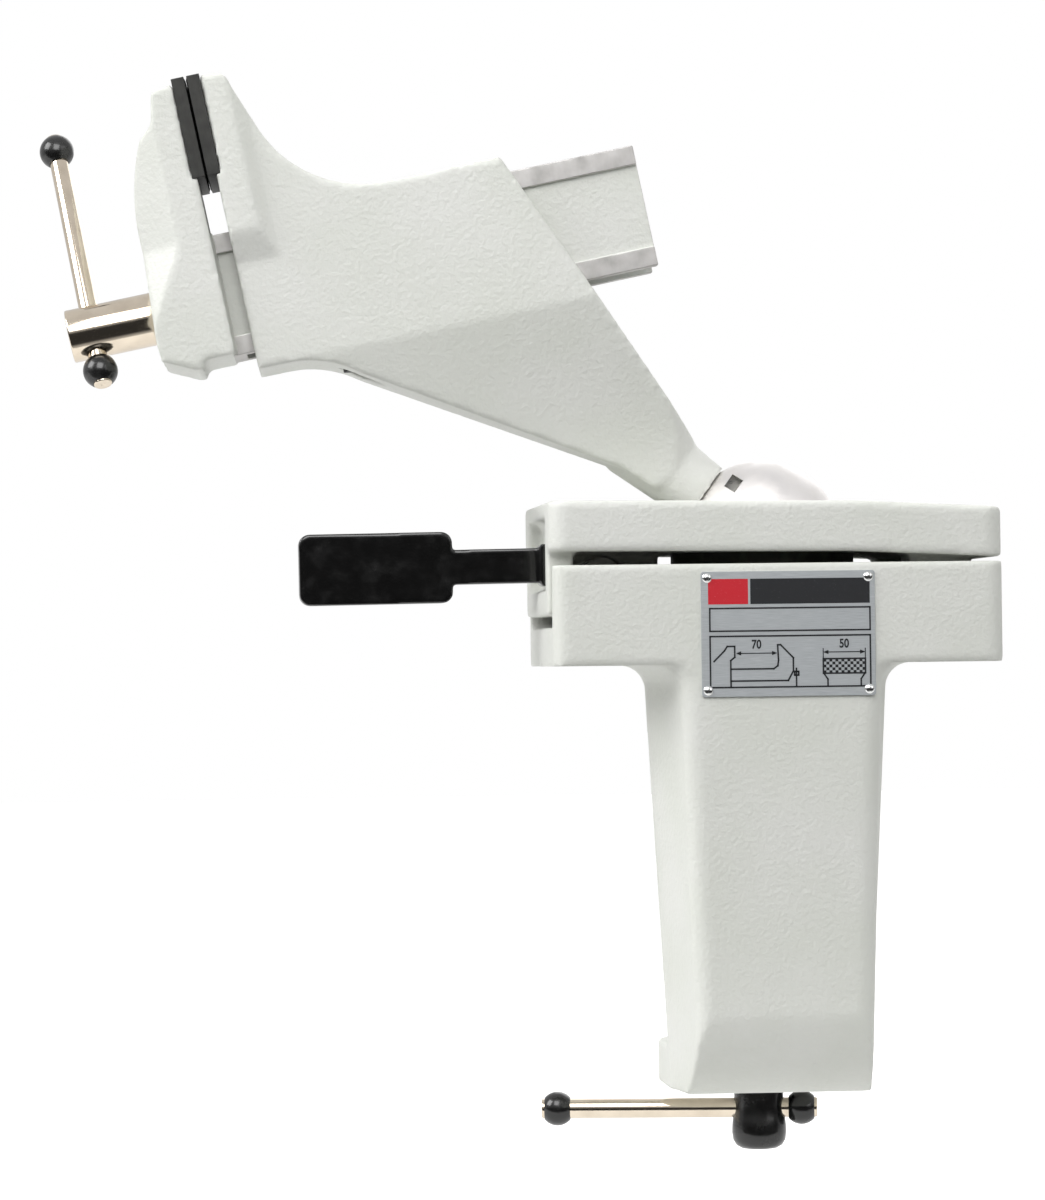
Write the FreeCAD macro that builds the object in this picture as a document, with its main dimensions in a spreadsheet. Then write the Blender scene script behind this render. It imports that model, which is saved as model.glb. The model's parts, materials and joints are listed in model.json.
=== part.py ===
import FreeCAD, Part
import math
import os
import re

import Sketcher
from FreeCAD import Placement, Rotation, Vector

# A bench vise on a ball joint, in millimetres and degrees.
#
# The row frame stands on the bench seat, the flat underside of the box behind the clamp leg.
# The clamp screw's axis is the Z axis. +X runs towards the end where the lid is hinged, +Y away
# from the leg, over the bench, and +Z up.
#
# The head has a frame of its own: its origin is the ball's centre, x runs back along the slide
# bar, away from the jaws, and z runs from the bar up to the jaws. Its jaw planes therefore have
# negative x. The neck frame has the same origin, and its z axis is the neck's own axis.

SIZES = {
    # ball joint
    "ball_y": -22.0,
    "ball_z": 34.7,
    "ball_radius": 21.5,
    "ball_gap": 0.3,
    "stem_radius": 5.5,
    "stem_tail": 10.0,
    "stem_top": 48.0,
    "notch_from": 4.4,
    "notch_to": 8.6,
    "notch_low": 14.2,
    "notch_high": 17.4,
    "notch_floor": 8.0,
    "head_swivel": -2.5,
    "head_pitch": 11.6,
    "neck_tilt": 52.4,
    # box of the lower frame
    "box_left": 61.3,
    "box_right": 60.6,
    "box_front": 61.0,
    "box_back": 20.0,
    "box_height": 27.1,
    "box_corner": 4.0,
    "box_wall": 6.0,
    "box_end_wall": 7.0,
    "floor_thick": 10.6,
    # clamp leg and arm
    "leg_front_half": 26.6,
    "leg_front_half_low": 23.2,
    "leg_back_half": 33.4,
    "leg_back_half_low": 27.2,
    "leg_flank": 33.0,
    "leg_depth": 40.0,
    "leg_length": 116.6,
    "leg_corner": 5.0,
    "leg_root_radius": 6.8,
    "arm_root": 6.0,
    "toe_height": 22.0,
    "toe_depth": 18.0,
    "toe_round": 30.0,
    "arm_thick": 12.0,
    "arm_half": 28.0,
    "arm_corner": 20.0,
    # lid
    "lid_gap": 3.8,
    "lid_thick": 13.6,
    "lid_tilt": 0.5,
    "lid_nose": 20.0,
    "lid_nose_slope": 2.8,
    "lid_overhang": 1.1,
    "lid_corner": 5.0,
    "lid_edge": 1.2,
    "tongue_thick": 7.2,
    "tongue_bottom": 13.7,
    "tongue_gap": 0.7,
    "recess_bottom": 20.6,
    "recess_round": 3.0,
    "recess_depth": 4.0,
    "recess_top": 40.2,
    "recess_jamb": 6.0,
    "lever_slot": 11.0,
    "cheek_thick": 7.0,
    "cheek_length": 25.0,
    "cheek_bottom": 11.4,
    "cone_clear": 1.6,
    "ear_width": 14.0,
    "ear_drop": 6.0,
    "ear_length": 17.0,
    # lever
    "lever_tilt": 0.6,
    "lever_height": 28.0,
    "lever_thick": 5.0,
    "arm_tall": 7.0,
    "paddle_tall": 17.0,
    "paddle_near": 85.8,
    "paddle_far": 127.9,
    "paddle_corner": 3.0,
    "grip_skin": 1.3,
    "grip_start": 59.6,
    "grip_lip": 1.0,
    "cam_throw": 2.5,
    "eye_radius": 9.0,
    "cam_drum_half": 12.0,
    "cam_radius": 6.5,
    "cam_gap": 0.5,
    "cam_bar_radius": 2.5,
    "cam_bar_inset": 18.0,
    "cam_bar_height": 23.0,
    "hinge_pin_radius": 2.5,
    "hinge_inset": 14.0,
    "hinge_height": 18.0,
    "pin_blind": 3.0,
    "running_clearance": 0.05,
    "overcut": 1.0,
    # ball seat ring
    "cup_radius": 25.2,
    "cup_top": 31.5,
    "cup_sink": 1.5,
    "cup_clear": 0.4,
    "cup_headroom": 0.5,
    "cup_drain": 8.0,
    # nameplate
    "plate_width": 47.0,
    "plate_height": 33.6,
    "plate_thick": 0.6,
    "plate_x": 1.8,
    "plate_z": 8.1,
    "plate_corner": 0.8,
    "rivet_inset": 1.7,
    "rivet_radius": 0.9,
    "rivet_head": 1.35,
    "rivet_dome": 0.7,
    "rivet_length": 4.0,
    # fixed jaw casting, in the head frame
    "jaw_plane": 128.3,
    "jaw_gap": 0.3,
    "jaw_half": 25.0,
    "jaw_top": 154.6,
    "jaw_back": 116.8,
    "flange_foot": 113.6,
    "flange_crest": 117.3,
    "flange_low": 102.5,
    "flange_high": 111.0,
    "jaw_block_round": 4.0,
    "housing_half": 21.5,
    "housing_top": 116.4,
    "housing_bottom": 74.0,
    "housing_rear_top": 49.3,
    "housing_front": 125.6,
    "keel_bottom": 73.7,
    "keel_bottom_end": 116.6,
    "keel_bow": 30.0,
    "sweep_radius": 33.0,
    "sweep_end": 81.0,
    "sweep_stop": 111.4,
    "rear_knee_x": 24.0,
    "rear_knee_z": 57.0,
    "keel_knee_x": 98.8,
    "keel_knee_z": 67.0,
    "keel_low_x": 34.3,
    "keel_low_z": 27.0,
    "keel_tip_x": 22.9,
    "keel_tip_z": 15.9,
    "keel_heel_x": 11.2,
    "keel_half": 8.6,
    "keel_foot": 17.0,
    "neck_end": 20.0,
    "neck_radius": 8.9,
    "neck_length": 26.0,
    "neck_flare": 10.4,
    "root_start": 30.0,
    "root_radius": 9.4,
    "root_length": 20.0,
    "root_spread": 24.8,
    # moving jaw and slide bar, in the head frame
    "moving_face": 130.8,
    "moving_back": 151.1,
    "moving_bottom": 76.6,
    "relief_start": 140.0,
    "moving_top_back": 140.0,
    "moving_shoulder_z": 144.5,
    "moving_belly_z": 111.6,
    "moving_belly_x": 149.7,
    "moving_bow": 60.0,
    "moving_foot_x": 141.8,
    "moving_foot_z": 86.0,
    "moving_heel_x": 150.7,
    "moving_heel_z": 80.9,
    "moving_nose_x": 138.2,
    "moving_nose_z": 153.0,
    "moving_step_x": 144.2,
    "moving_step_z": 140.9,
    "moving_top": 153.8,
    "facet_start": 139.5,
    "facet_deep": 10.0,
    "facet_slope": 50.0,
    "facet_bend_top": 111.0,
    "facet_end_z": 90.0,
    "bar_wall": 3.0,
    "bar_half": 15.0,
    "bar_top": 112.4,
    "bar_bottom": 78.9,
    "bar_rear": 12.9,
    "bar_clear": 0.15,
    "rail_tall": 5.3,
    "web_sink": 1.2,
    "channel_half": 10.0,
    "channel_top": 106.5,
    # jaw plates
    "plate_seat": 124.4,
    "pad_top": 155.1,
    "pad_low": 127.5,
    "pad_screw_z": 141.5,
    "pad_screw_y": 15.0,
    "pad_screw_radius": 2.0,
    "pad_screw_head": 4.0,
    "pad_screw_length": 10.0,
    "pad_screw_sink": 0.5,
    # lead screw, nut and tommy bar
    "screw_z": 94.6,
    "screw_radius": 6.0,
    "screw_tip": 18.0,
    "screw_head_radius": 7.3,
    "screw_head_end": 174.6,
    "washer_thick": 1.5,
    "washer_radius": 8.6,
    "washer_seat": 2.2,
    "washer_play": 0.3,
    "clip_thick": 1.2,
    "clip_radius": 8.4,
    "clip_groove": 1.0,
    "clip_float": 0.3,
    "nut_front": 110.0,
    "nut_length": 24.0,
    "nut_half": 9.0,
    "nut_top": 104.5,
    "nut_bolt_radius": 3.0,
    "nut_bolt_head": 5.0,
    "nut_bolt_reach": 7.5,
    "nut_bolt_seat": 74.0,
    "nut_bolt_tall": 5.0,
    "nut_bolt_socket": 2.4,
    "tommy_x": 168.1,
    "tommy_radius": 2.55,
    "tommy_hole_gap": 0.08,
    "tommy_span": 71.3,
    "tommy_tilt": 25.0,
    "tommy_knob": 4.8,
    "knob_float": 0.3,
    "knob_reach": 4.4,
    # clamp screw, pad and cross bar
    "clamp_screw_radius": 6.0,
    "clamp_reach": 25.0,
    "clamp_pad_radius": 14.0,
    "clamp_pad_thick": 5.0,
    "pad_face_thick": 2.0,
    "pad_face_radius": 13.0,
    "skirt_radius": 9.0,
    "skirt_tall": 4.0,
    "tip_radius": 5.0,
    "tip_length": 6.0,
    "tip_groove": 4.2,
    "pad_float": 1.0,
    "ring_outside": 6.2,
    "ring_rise": 2.0,
    "ring_thick": 1.0,
    "ring_float": 0.3,
    "cap_gap": 1.0,
    "cap_radius": 7.6,
    "cap_waist": 6.9,
    "cap_tall": 18.3,
    "cap_neck": 7.5,
    "cap_slope": 4.0,
    "cap_floor": 4.0,
    "cap_round": 5.0,
    "cross_drop": 7.8,
    "cross_radius": 2.75,
    "cross_span": 68.5,
    "cross_knob": 4.75,
    "cross_turn": -8.4,
}

doc = FreeCAD.newDocument("bench_clamp_vise")
sheet = doc.addObject("Spreadsheet::Sheet", "Sizes")
for row, (alias, size) in enumerate(SIZES.items(), start=1):
    sheet.set("A%d" % row, alias)
    sheet.set("B%d" % row, str(size))
    sheet.setAlias("B%d" % row, alias)
doc.recompute()

WORD = re.compile(r"[a-z_][a-z0-9_]*")


def spell(text):
    """An expression that names sizes, as FreeCAD reads it."""
    return WORD.sub(lambda word: "Sizes." + word[0] if word[0] in SIZES else word[0], str(text))


def value(text):
    """The number that an expression comes to now."""
    return float(sheet.evalExpression(spell(text)))


def bind(thing, **cells):
    """Ties properties of a thing to expressions: a double underscore in a name stands for a dot."""
    for path, text in cells.items():
        thing.setExpression(path.replace("__", "."), spell(text))
    return thing


# Frames that pieces are placed in. Each is the placement that a piece modelled about its own zero gets.

BALL = "vector(0; ball_y; ball_z)"
FRAMES = {
    "row": None,
    "head": "placement(%s; rotation(head_swivel; -head_pitch; 0))" % BALL,
    "neck": "placement(%s; rotation(head_swivel; -neck_tilt; 0))" % BALL,
    "lever": "placement(vector(-cam_bar_x; ball_y; cam_bar_height); rotation(0; -lever_tilt; 0))",
}
CAM_BAR_X = "(box_left - cam_bar_inset)"
HINGE_X = "(box_right - hinge_inset)"
FRAMES["lever"] = FRAMES["lever"].replace("cam_bar_x", CAM_BAR_X)
FRAMES["screw"] = FRAMES["head"] + " * placement(vector(0; 0; screw_z); rotation(0; 0; 0))"
FRAMES["cross"] = "placement(vector(0; 0; 0); rotation(cross_turn; 0; 0))"
FRAMES["tommy"] = FRAMES["head"] + " * placement(vector(0; 0; screw_z); rotation(0; 0; -tommy_tilt))"


def finished(thing, label, frame="row"):
    """Names a sub-part and puts it into its frame."""
    thing.Label = label
    if FRAMES[frame]:
        bind(thing, Placement=FRAMES[frame])
    PIECES.append(thing)
    return thing


PIECES = []


# Part primitives, with sizes and places as expressions


def turned(axis):
    """The rotation that lays a primitive's own Z along an axis."""
    return {
        "x": Rotation(Vector(0, 1, 0), 90),
        "-x": Rotation(Vector(0, 1, 0), -90),
        "y": Rotation(Vector(1, 0, 0), -90),
        "-y": Rotation(Vector(1, 0, 0), 90),
        "z": Rotation(),
        "-z": Rotation(Vector(1, 0, 0), 180),
    }[axis]


def primitive(kind, name, at, axis="z", **sizes):
    thing = doc.addObject("Part::" + kind, name)
    thing.Placement = Placement(Vector(), turned(axis))
    bind(thing, Placement__Base__x=at[0], Placement__Base__y=at[1], Placement__Base__z=at[2], **sizes)
    return thing


def rod(name, radius, length, at=(0, 0, 0), axis="z"):
    return primitive("Cylinder", name, at, axis, Radius=radius, Height=length)


def cone(name, start, end, length, at=(0, 0, 0), axis="z"):
    return primitive("Cone", name, at, axis, Radius1=start, Radius2=end, Height=length)


def ball(name, radius, at=(0, 0, 0), axis="z"):
    return primitive("Sphere", name, at, axis, Radius=radius)


def block(name, low, high):
    """A box from one corner to the opposite one."""
    sizes = ["(%s) - (%s)" % (b, a) for a, b in zip(low, high)]
    return primitive("Box", name, low, Length=sizes[0], Width=sizes[1], Height=sizes[2])


def joined(name, *things):
    whole = doc.addObject("Part::MultiFuse", name)
    whole.Shapes = list(things)
    whole.Refine = True
    return whole


def cut(name, base, *tools):
    rest = doc.addObject("Part::Cut", name)
    rest.Base = base
    rest.Tool = tools[0] if len(tools) == 1 else joined(name + "_tools", *tools)
    rest.Refine = True
    return rest


def group(name, *things):
    """Separate solids that share one node."""
    whole = doc.addObject("Part::Compound", name)
    whole.Links = list(things)
    return whole


# PartDesign bodies


def new_body(name):
    return doc.addObject("PartDesign::Body", name)


def outline(body, name, plane, corners, offset="0"):
    """A closed sketch through corners given as expressions. A third value makes the edge that
    leaves the corner an arc of that radius, whose centre is on the left of the way to the next
    corner, or on the right if it is negative."""
    sketch = body.newObject("Sketcher::SketchObject", name)
    origin_plane = [one for one in body.Origin.OriginFeatures if one.Role == plane][0]
    sketch.AttachmentSupport = (origin_plane, [""])
    sketch.MapMode = "FlatFace"
    bind(sketch, AttachmentOffset__Base__z=offset)
    spots = [Vector(value(corner[0]), value(corner[1]), 0) for corner in corners]
    ends = []
    for number, corner in enumerate(corners):
        start, end = spots[number], spots[(number + 1) % len(spots)]
        if len(corner) == 2:
            sketch.addGeometry(Part.LineSegment(start, end), False)
            ends.append((1, 2))
            continue
        radius = value(corner[2])
        along = end - start
        side = Vector(-along.y, along.x, 0).normalize()
        rise = math.sqrt(radius**2 - (along.Length / 2) ** 2)
        centre = (start + end) / 2 + side * math.copysign(rise, radius)
        first, last = (start, end) if radius > 0 else (end, start)
        circle = Part.Circle(centre, Vector(0, 0, 1), abs(radius))
        turns = [math.atan2(spot.y - centre.y, spot.x - centre.x) for spot in (first, last)]
        sketch.addGeometry(Part.ArcOfCircle(circle, *turns), False)
        ends.append((1, 2) if radius > 0 else (2, 1))
    for number in range(len(corners)):
        after = (number + 1) % len(corners)
        sketch.addConstraint(Sketcher.Constraint("Coincident", number, ends[number][1], after,
                                                 ends[after][0]))
    for number, corner in enumerate(corners):
        for kind, text, size in zip(("DistanceX", "DistanceY"), corner, spots[number]):
            pinned = Sketcher.Constraint(kind, -1, 1, number, ends[number][0], size)
            sketch.setExpression("Constraints[%d]" % sketch.addConstraint(pinned), spell(text))
        if len(corner) == 3:
            rounded = Sketcher.Constraint("Radius", number, abs(value(corner[2])))
            sketch.setExpression("Constraints[%d]" % sketch.addConstraint(rounded),
                                 spell("abs(%s)" % corner[2]))
    return sketch


def rectangle(body, name, plane, low, high, offset="0"):
    corners = [(low[0], low[1]), (high[0], low[1]), (high[0], high[1]), (low[0], high[1])]
    return outline(body, name, plane, corners, offset)


def pad(body, sketch, length, symmetric=False, reverse=False, kind="Pad"):
    feature = body.newObject("PartDesign::" + kind, sketch.Name + "_" + kind.lower())
    feature.Profile = sketch
    feature.SideType = "Symmetric" if symmetric else "One side"
    feature.Reversed = reverse
    bind(feature, Length=length)
    body.Tip = feature
    return feature


def pocket(body, sketch, length, symmetric=False, reverse=False):
    return pad(body, sketch, length, symmetric, reverse, kind="Pocket")


def rounded(body, name, radius, wanted):
    """Rounds those edges of the body so far that wanted picks by their middle and direction."""
    doc.recompute()
    before = body.Tip
    chosen = []
    for number, edge in enumerate(before.Shape.Edges, start=1):
        middle = edge.valueAt((edge.FirstParameter + edge.LastParameter) / 2)
        way = edge.Vertexes[-1].Point - edge.Vertexes[0].Point
        if way.Length > 0 and wanted(middle, way.normalize()):
            chosen.append("Edge%d" % number)
    if not chosen:
        raise ValueError("no edge found for " + name)
    feature = body.newObject("PartDesign::Fillet", name)
    feature.Base = (before, chosen)
    bind(feature, Radius=radius)
    body.Tip = feature
    return feature


NEAR = 0.05


def near(a, b):
    return abs(a - b) < NEAR


# Lower frame: the box with its open left end, the clamp leg in front of the bench's edge, and the arm below


LEG_BACK = "(leg_depth - box_front)"


def leg_plan(body, name, front_half, back_half, height):
    corners = [
        ("-(%s)" % front_half, "-box_front"),
        (front_half, "-box_front"),
        (back_half, "leg_flank - box_front"),
        (back_half, LEG_BACK),
        ("-(%s)" % back_half, LEG_BACK),
        ("-(%s)" % back_half, "leg_flank - box_front"),
    ]
    return outline(body, name, "XY_Plane", corners, height)


def make_lower_frame():
    body = new_body("frame_casting")
    plan = ("-box_left", "-box_front"), ("box_right", "box_back")
    pad(body, rectangle(body, "box_plan", "XY_Plane", *plan), "box_height")
    top = leg_plan(body, "leg_top", "leg_front_half", "leg_back_half", "0")
    foot = leg_plan(body, "leg_foot", "leg_front_half_low", "leg_back_half_low", "-leg_length")
    leg = body.newObject("PartDesign::AdditiveLoft", "leg")
    leg.Profile = top
    leg.Sections = [foot]
    leg.Ruled = True
    body.Tip = leg
    front, back_of_leg, widest = -value("box_front"), value(LEG_BACK), value("leg_back_half")
    rounded(body, "leg_root", "leg_root_radius", lambda middle,
            way: near(middle.z, 0) and not near(middle.y, front)
            and middle.y < back_of_leg - NEAR and abs(middle.x) < widest + NEAR)
    rounded(body, "leg_corners", "leg_corner", lambda middle, way: near(middle.y, front) and way.z**2 > 0.9
            and middle.z < 0)
    # The round of the leg's corners runs on along the box's lower edge, which stays square.
    pad(body, rectangle(body, "square_box", "XY_Plane", *plan), "box_height")
    rounded(body, "box_corners", "box_corner", lambda middle, way: near(abs(way.z), 1) and middle.z > 0)
    arm = rectangle(body, "arm_plan", "XY_Plane", ("-arm_half", LEG_BACK + " - arm_root"),
                    ("arm_half", "box_back"),
                    "-leg_length")
    pad(body, arm, "arm_thick")
    back = value("box_back")
    rounded(body, "arm_corners", "arm_corner", lambda middle,
            way: near(middle.y, back) and near(abs(way.z), 1)
            and middle.z < 0)
    toe = outline(body, "toe", "YZ_Plane", [
        ("-box_front - overcut", "toe_height - leg_length"),
        ("-box_front", "toe_height - leg_length", "toe_round"),
        ("toe_depth - box_front", "-leg_length"),
        ("toe_depth - box_front", "-leg_length - overcut"),
        ("-box_front - overcut", "-leg_length - overcut"),
    ])
    pocket(body, toe, "4 * leg_back_half", symmetric=True)
    cavity = rectangle(body, "cavity", "XY_Plane", ("-box_left - overcut", "box_wall - box_front"),
                       ("box_right - box_end_wall", "box_back - box_wall"), "box_height")
    pocket(body, cavity, "box_height - floor_thick")
    across = "box_front + box_back - pin_blind"
    tools = [
        rod("cup_hollow", "cup_radius + running_clearance", "box_height",
            (0, "ball_y", "floor_thick - cup_sink")),
        rod("cam_bar_hole", "cam_bar_radius", across, ("-" + CAM_BAR_X, "box_back", "cam_bar_height"), "-y"),
        rod("hinge_hole", "hinge_pin_radius", across, (HINGE_X, "box_back", "hinge_height"), "-y"),
        rod("clamp_screw_hole", "clamp_screw_radius + running_clearance", "arm_thick + 2 * overcut",
            (0, 0, "-leg_length - overcut")),
    ]
    for number, (x, z) in enumerate(rivet_places()):
        tools.append(rod("rivet_hole_%d" % number, "rivet_radius", "rivet_length + overcut",
                         (x, "-box_front - overcut", z), "y"))
    finished(cut("lower_frame", body, *tools), "lower_frame")


def rivet_places():
    for side in ("-", "+"):
        for end in ("-", "+"):
            yield (
                "plate_x %s (plate_width / 2 - rivet_inset)" % side,
                "plate_z %s (plate_height / 2 - rivet_inset)" % end,
            )


def make_nameplate():
    body = new_body("plate_blank")
    low = ("plate_x - plate_width / 2", "plate_z - plate_height / 2")
    high = ("plate_x + plate_width / 2", "plate_z + plate_height / 2")
    pad(body, rectangle(body, "plate_outline", "XZ_Plane", low, high, "box_front"), "plate_thick")
    rounded(body, "plate_corners", "plate_corner", lambda middle, way: near(abs(way.y), 1))
    holes = [rod("plate_hole_%d" % number, "rivet_radius", "plate_thick + 2 * overcut",
                 (x, "-box_front - plate_thick - overcut", z), "y")
             for number, (x, z) in enumerate(rivet_places())]
    finished(cut("nameplate", body, *holes), "nameplate")
    rivets = []
    for number, (x, z) in enumerate(rivet_places()):
        face = "-box_front - plate_thick"
        shank = rod("rivet_shank_%d" % number, "rivet_radius", "rivet_length + plate_thick", (x, face, z),
                    "y")
        bulge = "(rivet_head ^ 2 + rivet_dome ^ 2) / (2 * rivet_dome)"
        dome = ball("rivet_ball_%d" % number, bulge, (x, face + " - rivet_dome + " + bulge, z))
        half = block("rivet_side_%d" % number,
                     (x + " - 2 * rivet_head", face + " - 2 * rivet_dome", z + " - 2 * rivet_head"),
                     (x + " + 2 * rivet_head", face, z + " + 2 * rivet_head"))
        head = doc.addObject("Part::Common", "rivet_head_%d" % number)
        head.Base = dome
        head.Tool = half
        rivets.append(joined("rivet_%d" % number, head, shank))
    finished(group("nameplate_rivets", *rivets), "nameplate_rivets")


def make_frame_pins():
    across = "box_front + box_back - pin_blind"
    finished(rod("cam_bar", "cam_bar_radius", across, ("-" + CAM_BAR_X, "box_back", "cam_bar_height"), "-y"),
             "cam_bar")
    finished(rod("lid_hinge_pin", "hinge_pin_radius", across, (HINGE_X, "box_back", "hinge_height"), "-y"),
             "lid_hinge_pin")


# Lid: the casting over the box, which presses the ball down into its seat


LID_LEFT = "(box_left + lid_overhang)"
LID_LOW = "(box_height + lid_gap)"
KNEE_LOW = "(%s - (%s + lid_nose) * tan(lid_tilt))" % (LID_LOW, LID_LEFT)
END_LOW = "(%s - (box_right - lid_nose) * tan(lid_nose_slope))" % KNEE_LOW
INSIDE_FRONT = "(box_front - box_wall - tongue_gap)"
INSIDE_BACK = "(box_back - box_wall - tongue_gap)"
INSIDE_RIGHT = "(box_right - box_end_wall - tongue_gap)"
TONGUE_BACK = "(tongue_thick - %s)" % LID_LEFT
CHEEK_HALF = "(lever_slot / 2 + cheek_thick)"
BALL_HOLLOW = "ball_radius + ball_gap"


def make_lid():
    body = new_body("lid_casting")
    slab = outline(body, "lid_slab", "XZ_Plane", [
        ("-" + LID_LEFT, LID_LOW),
        ("lid_nose", KNEE_LOW),
        ("box_right", END_LOW),
        ("box_right", END_LOW + " + lid_thick"),
        ("lid_nose", KNEE_LOW + " + lid_thick"),
        ("-" + LID_LEFT, LID_LOW + " + lid_thick"),
    ], "-box_back")
    pad(body, slab, "box_front + box_back")
    rounded(body, "lid_corners", "lid_corner", lambda middle, way: near(abs(way.z), 1))
    half_way, knee = value(LID_LOW + " + lid_thick / 2"), value("lid_nose")
    rounded(body, "lid_edges", "lid_edge", lambda middle, way: middle.z > half_way and abs(way.z) < 0.5
            and not near(middle.x, knee))
    low_left = ("-" + LID_LEFT, "-" + INSIDE_FRONT)
    tongue = rectangle(body, "tongue", "XY_Plane", low_left, (TONGUE_BACK, INSIDE_BACK), "tongue_bottom")
    pad(body, tongue, LID_LOW + " + overcut - tongue_bottom")
    cheeks = rectangle(body, "cheeks", "XY_Plane", (TONGUE_BACK + " - overcut", "ball_y - " + CHEEK_HALF),
                       (TONGUE_BACK + " + cheek_length", "ball_y + " + CHEEK_HALF), "cheek_bottom")
    pad(body, cheeks, LID_LOW + " + overcut - cheek_bottom")
    ear_left = INSIDE_RIGHT + " - ear_length"
    for name, front, back in (("front_ear", "-" + INSIDE_FRONT, "ear_width - " + INSIDE_FRONT),
                              ("back_ear", INSIDE_BACK + " - ear_width", INSIDE_BACK)):
        ear = rectangle(body, name, "XY_Plane", (ear_left, front), (INSIDE_RIGHT, back),
                        "hinge_height - ear_drop")
        pad(body, ear, END_LOW + " + 2 - hinge_height + ear_drop")
    recess_x = "recess_depth - " + LID_LEFT
    recess = outline(body, "recess", "XZ_Plane", [
        ("-%s - overcut" % LID_LEFT, "recess_bottom"),
        (recess_x + " - recess_round", "recess_bottom", "recess_round"),
        (recess_x, "recess_bottom + recess_round"),
        (recess_x, "recess_top - recess_round", "recess_round"),
        (recess_x + " - recess_round", "recess_top"),
        ("-%s - overcut" % LID_LEFT, "recess_top"),
    ], INSIDE_FRONT + " - recess_jamb")
    pocket(body, recess, INSIDE_FRONT + " + %s - 2 * recess_jamb" % INSIDE_BACK)
    slot_front, slot_back = "ball_y - lever_slot / 2", "ball_y + lever_slot / 2"
    drum_x = "-%s - cam_throw" % CAM_BAR_X
    hollow = BALL_HOLLOW
    mouth = "((neck_radius + cone_clear) / sin(neck_tilt)) * tan(neck_tilt)"
    tools = [
        block("lever_way", ("-%s - overcut" % LID_LEFT, slot_front, "recess_bottom"),
              (TONGUE_BACK + " + cheek_length", slot_back, "recess_top")),
        block("cheek_gap", (TONGUE_BACK, slot_front, "cheek_bottom - overcut"),
              (TONGUE_BACK + " + cheek_length + overcut", slot_back, LID_LOW)),
        rod("drum_hole", "cam_radius + cam_gap", "2 * %s + 2 * overcut" % CHEEK_HALF,
            (drum_x, "ball_y - %s - overcut" % CHEEK_HALF, "cam_bar_height"), "y"),
        rod("ear_hole", "hinge_pin_radius + running_clearance", "box_front + box_back",
            (HINGE_X, "box_back", "hinge_height"),
            "-y"),
        rod("cup_recess", "cup_radius + cup_clear", "cup_top + cup_headroom - box_height",
            (0, "ball_y", "box_height")),
        rod("ball_way", hollow, "ball_z - box_height", (0, "ball_y", "box_height")),
        ball("ball_seat", hollow, (0, "ball_y", "ball_z")),
        cone("mouth", mouth, mouth + " + lid_thick * tan(neck_tilt)", "lid_thick", (0, "ball_y", "ball_z")),
    ]
    finished(cut("clamp_lid", body, *tools), "clamp_lid")


# Lock lever: a steel plate with an eye round the eccentric drum, and its dipped grip


LEVER_MID = "(lever_height - cam_bar_height)"


def lever_x(row_x):
    """The lever frame's x of a place that lies row_x to the left of zero."""
    return "(%s - %s)" % (CAM_BAR_X, row_x)


def lever_side(body, name, start, grow):
    """The side outline of arm and paddle, grown all round."""
    near_x = lever_x("paddle_near") + " - grip_skin + (%s)" % grow
    far_x = lever_x("paddle_far") + " + grip_skin - (%s)" % grow
    arm, paddle = "(arm_tall / 2 + %s)" % grow, "(paddle_tall / 2 + %s)" % grow
    return outline(body, name, "XZ_Plane", [
        (start, "%s - %s" % (LEVER_MID, arm)),
        (start, "%s + %s" % (LEVER_MID, arm)),
        (near_x, "%s + %s" % (LEVER_MID, arm)),
        (near_x, "%s + %s" % (LEVER_MID, paddle)),
        (far_x, "%s + %s" % (LEVER_MID, paddle)),
        (far_x, "%s - %s" % (LEVER_MID, paddle)),
        (near_x, "%s - %s" % (LEVER_MID, paddle)),
        (near_x, "%s - %s" % (LEVER_MID, arm)),
    ])


def round_paddle(body, name, radius):
    arm = value("arm_tall / 2 + grip_skin + overcut")
    middle_z = value(LEVER_MID)
    rounded(body, name, radius, lambda middle, way: near(abs(way.y), 1) and abs(middle.z - middle_z) > arm)


def make_lever():
    steel = new_body("lever_plate")
    pad(steel, lever_side(steel, "lever_side", "-cam_throw", "0"), "lever_thick", symmetric=True)
    round_paddle(steel, "lever_corners", "paddle_corner - grip_skin")
    eye = rod("lever_eye", "eye_radius", "lever_thick", ("-cam_throw", "-lever_thick / 2", 0), "y")
    drum = rod("drum_round", "cam_radius", "2 * cam_drum_half", ("-cam_throw", "-cam_drum_half", 0), "y")
    finished(cut("lock_lever", joined("lever_whole", steel, eye), drum), "lock_lever", "lever")
    bore = rod("drum_bore", "cam_bar_radius + running_clearance", "2 * cam_drum_half + 2 * overcut",
               (0, "-cam_drum_half - overcut", 0), "y")
    finished(cut("cam_drum", drum, bore), "cam_drum", "lever")
    skin = new_body("grip_skin_body")
    start = lever_x("grip_start")
    pad(skin, lever_side(skin, "grip_side", start, "grip_skin"), "lever_thick + 2 * grip_skin",
        symmetric=True)
    round_paddle(skin, "grip_corners", "paddle_corner")
    half = "(arm_tall / 2 + grip_skin + grip_lip)"
    wide = "(lever_thick / 2 + grip_skin + grip_lip)"
    lip = block("grip_lip_block", (start + " - 2 * grip_lip", "-" + wide, "%s - %s" % (LEVER_MID, half)),
                (start, wide, "%s + %s" % (LEVER_MID, half)))
    finished(cut("lever_grip", joined("grip_outside", skin, lip), steel), "lever_grip", "lever")


# Ball joint


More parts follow.
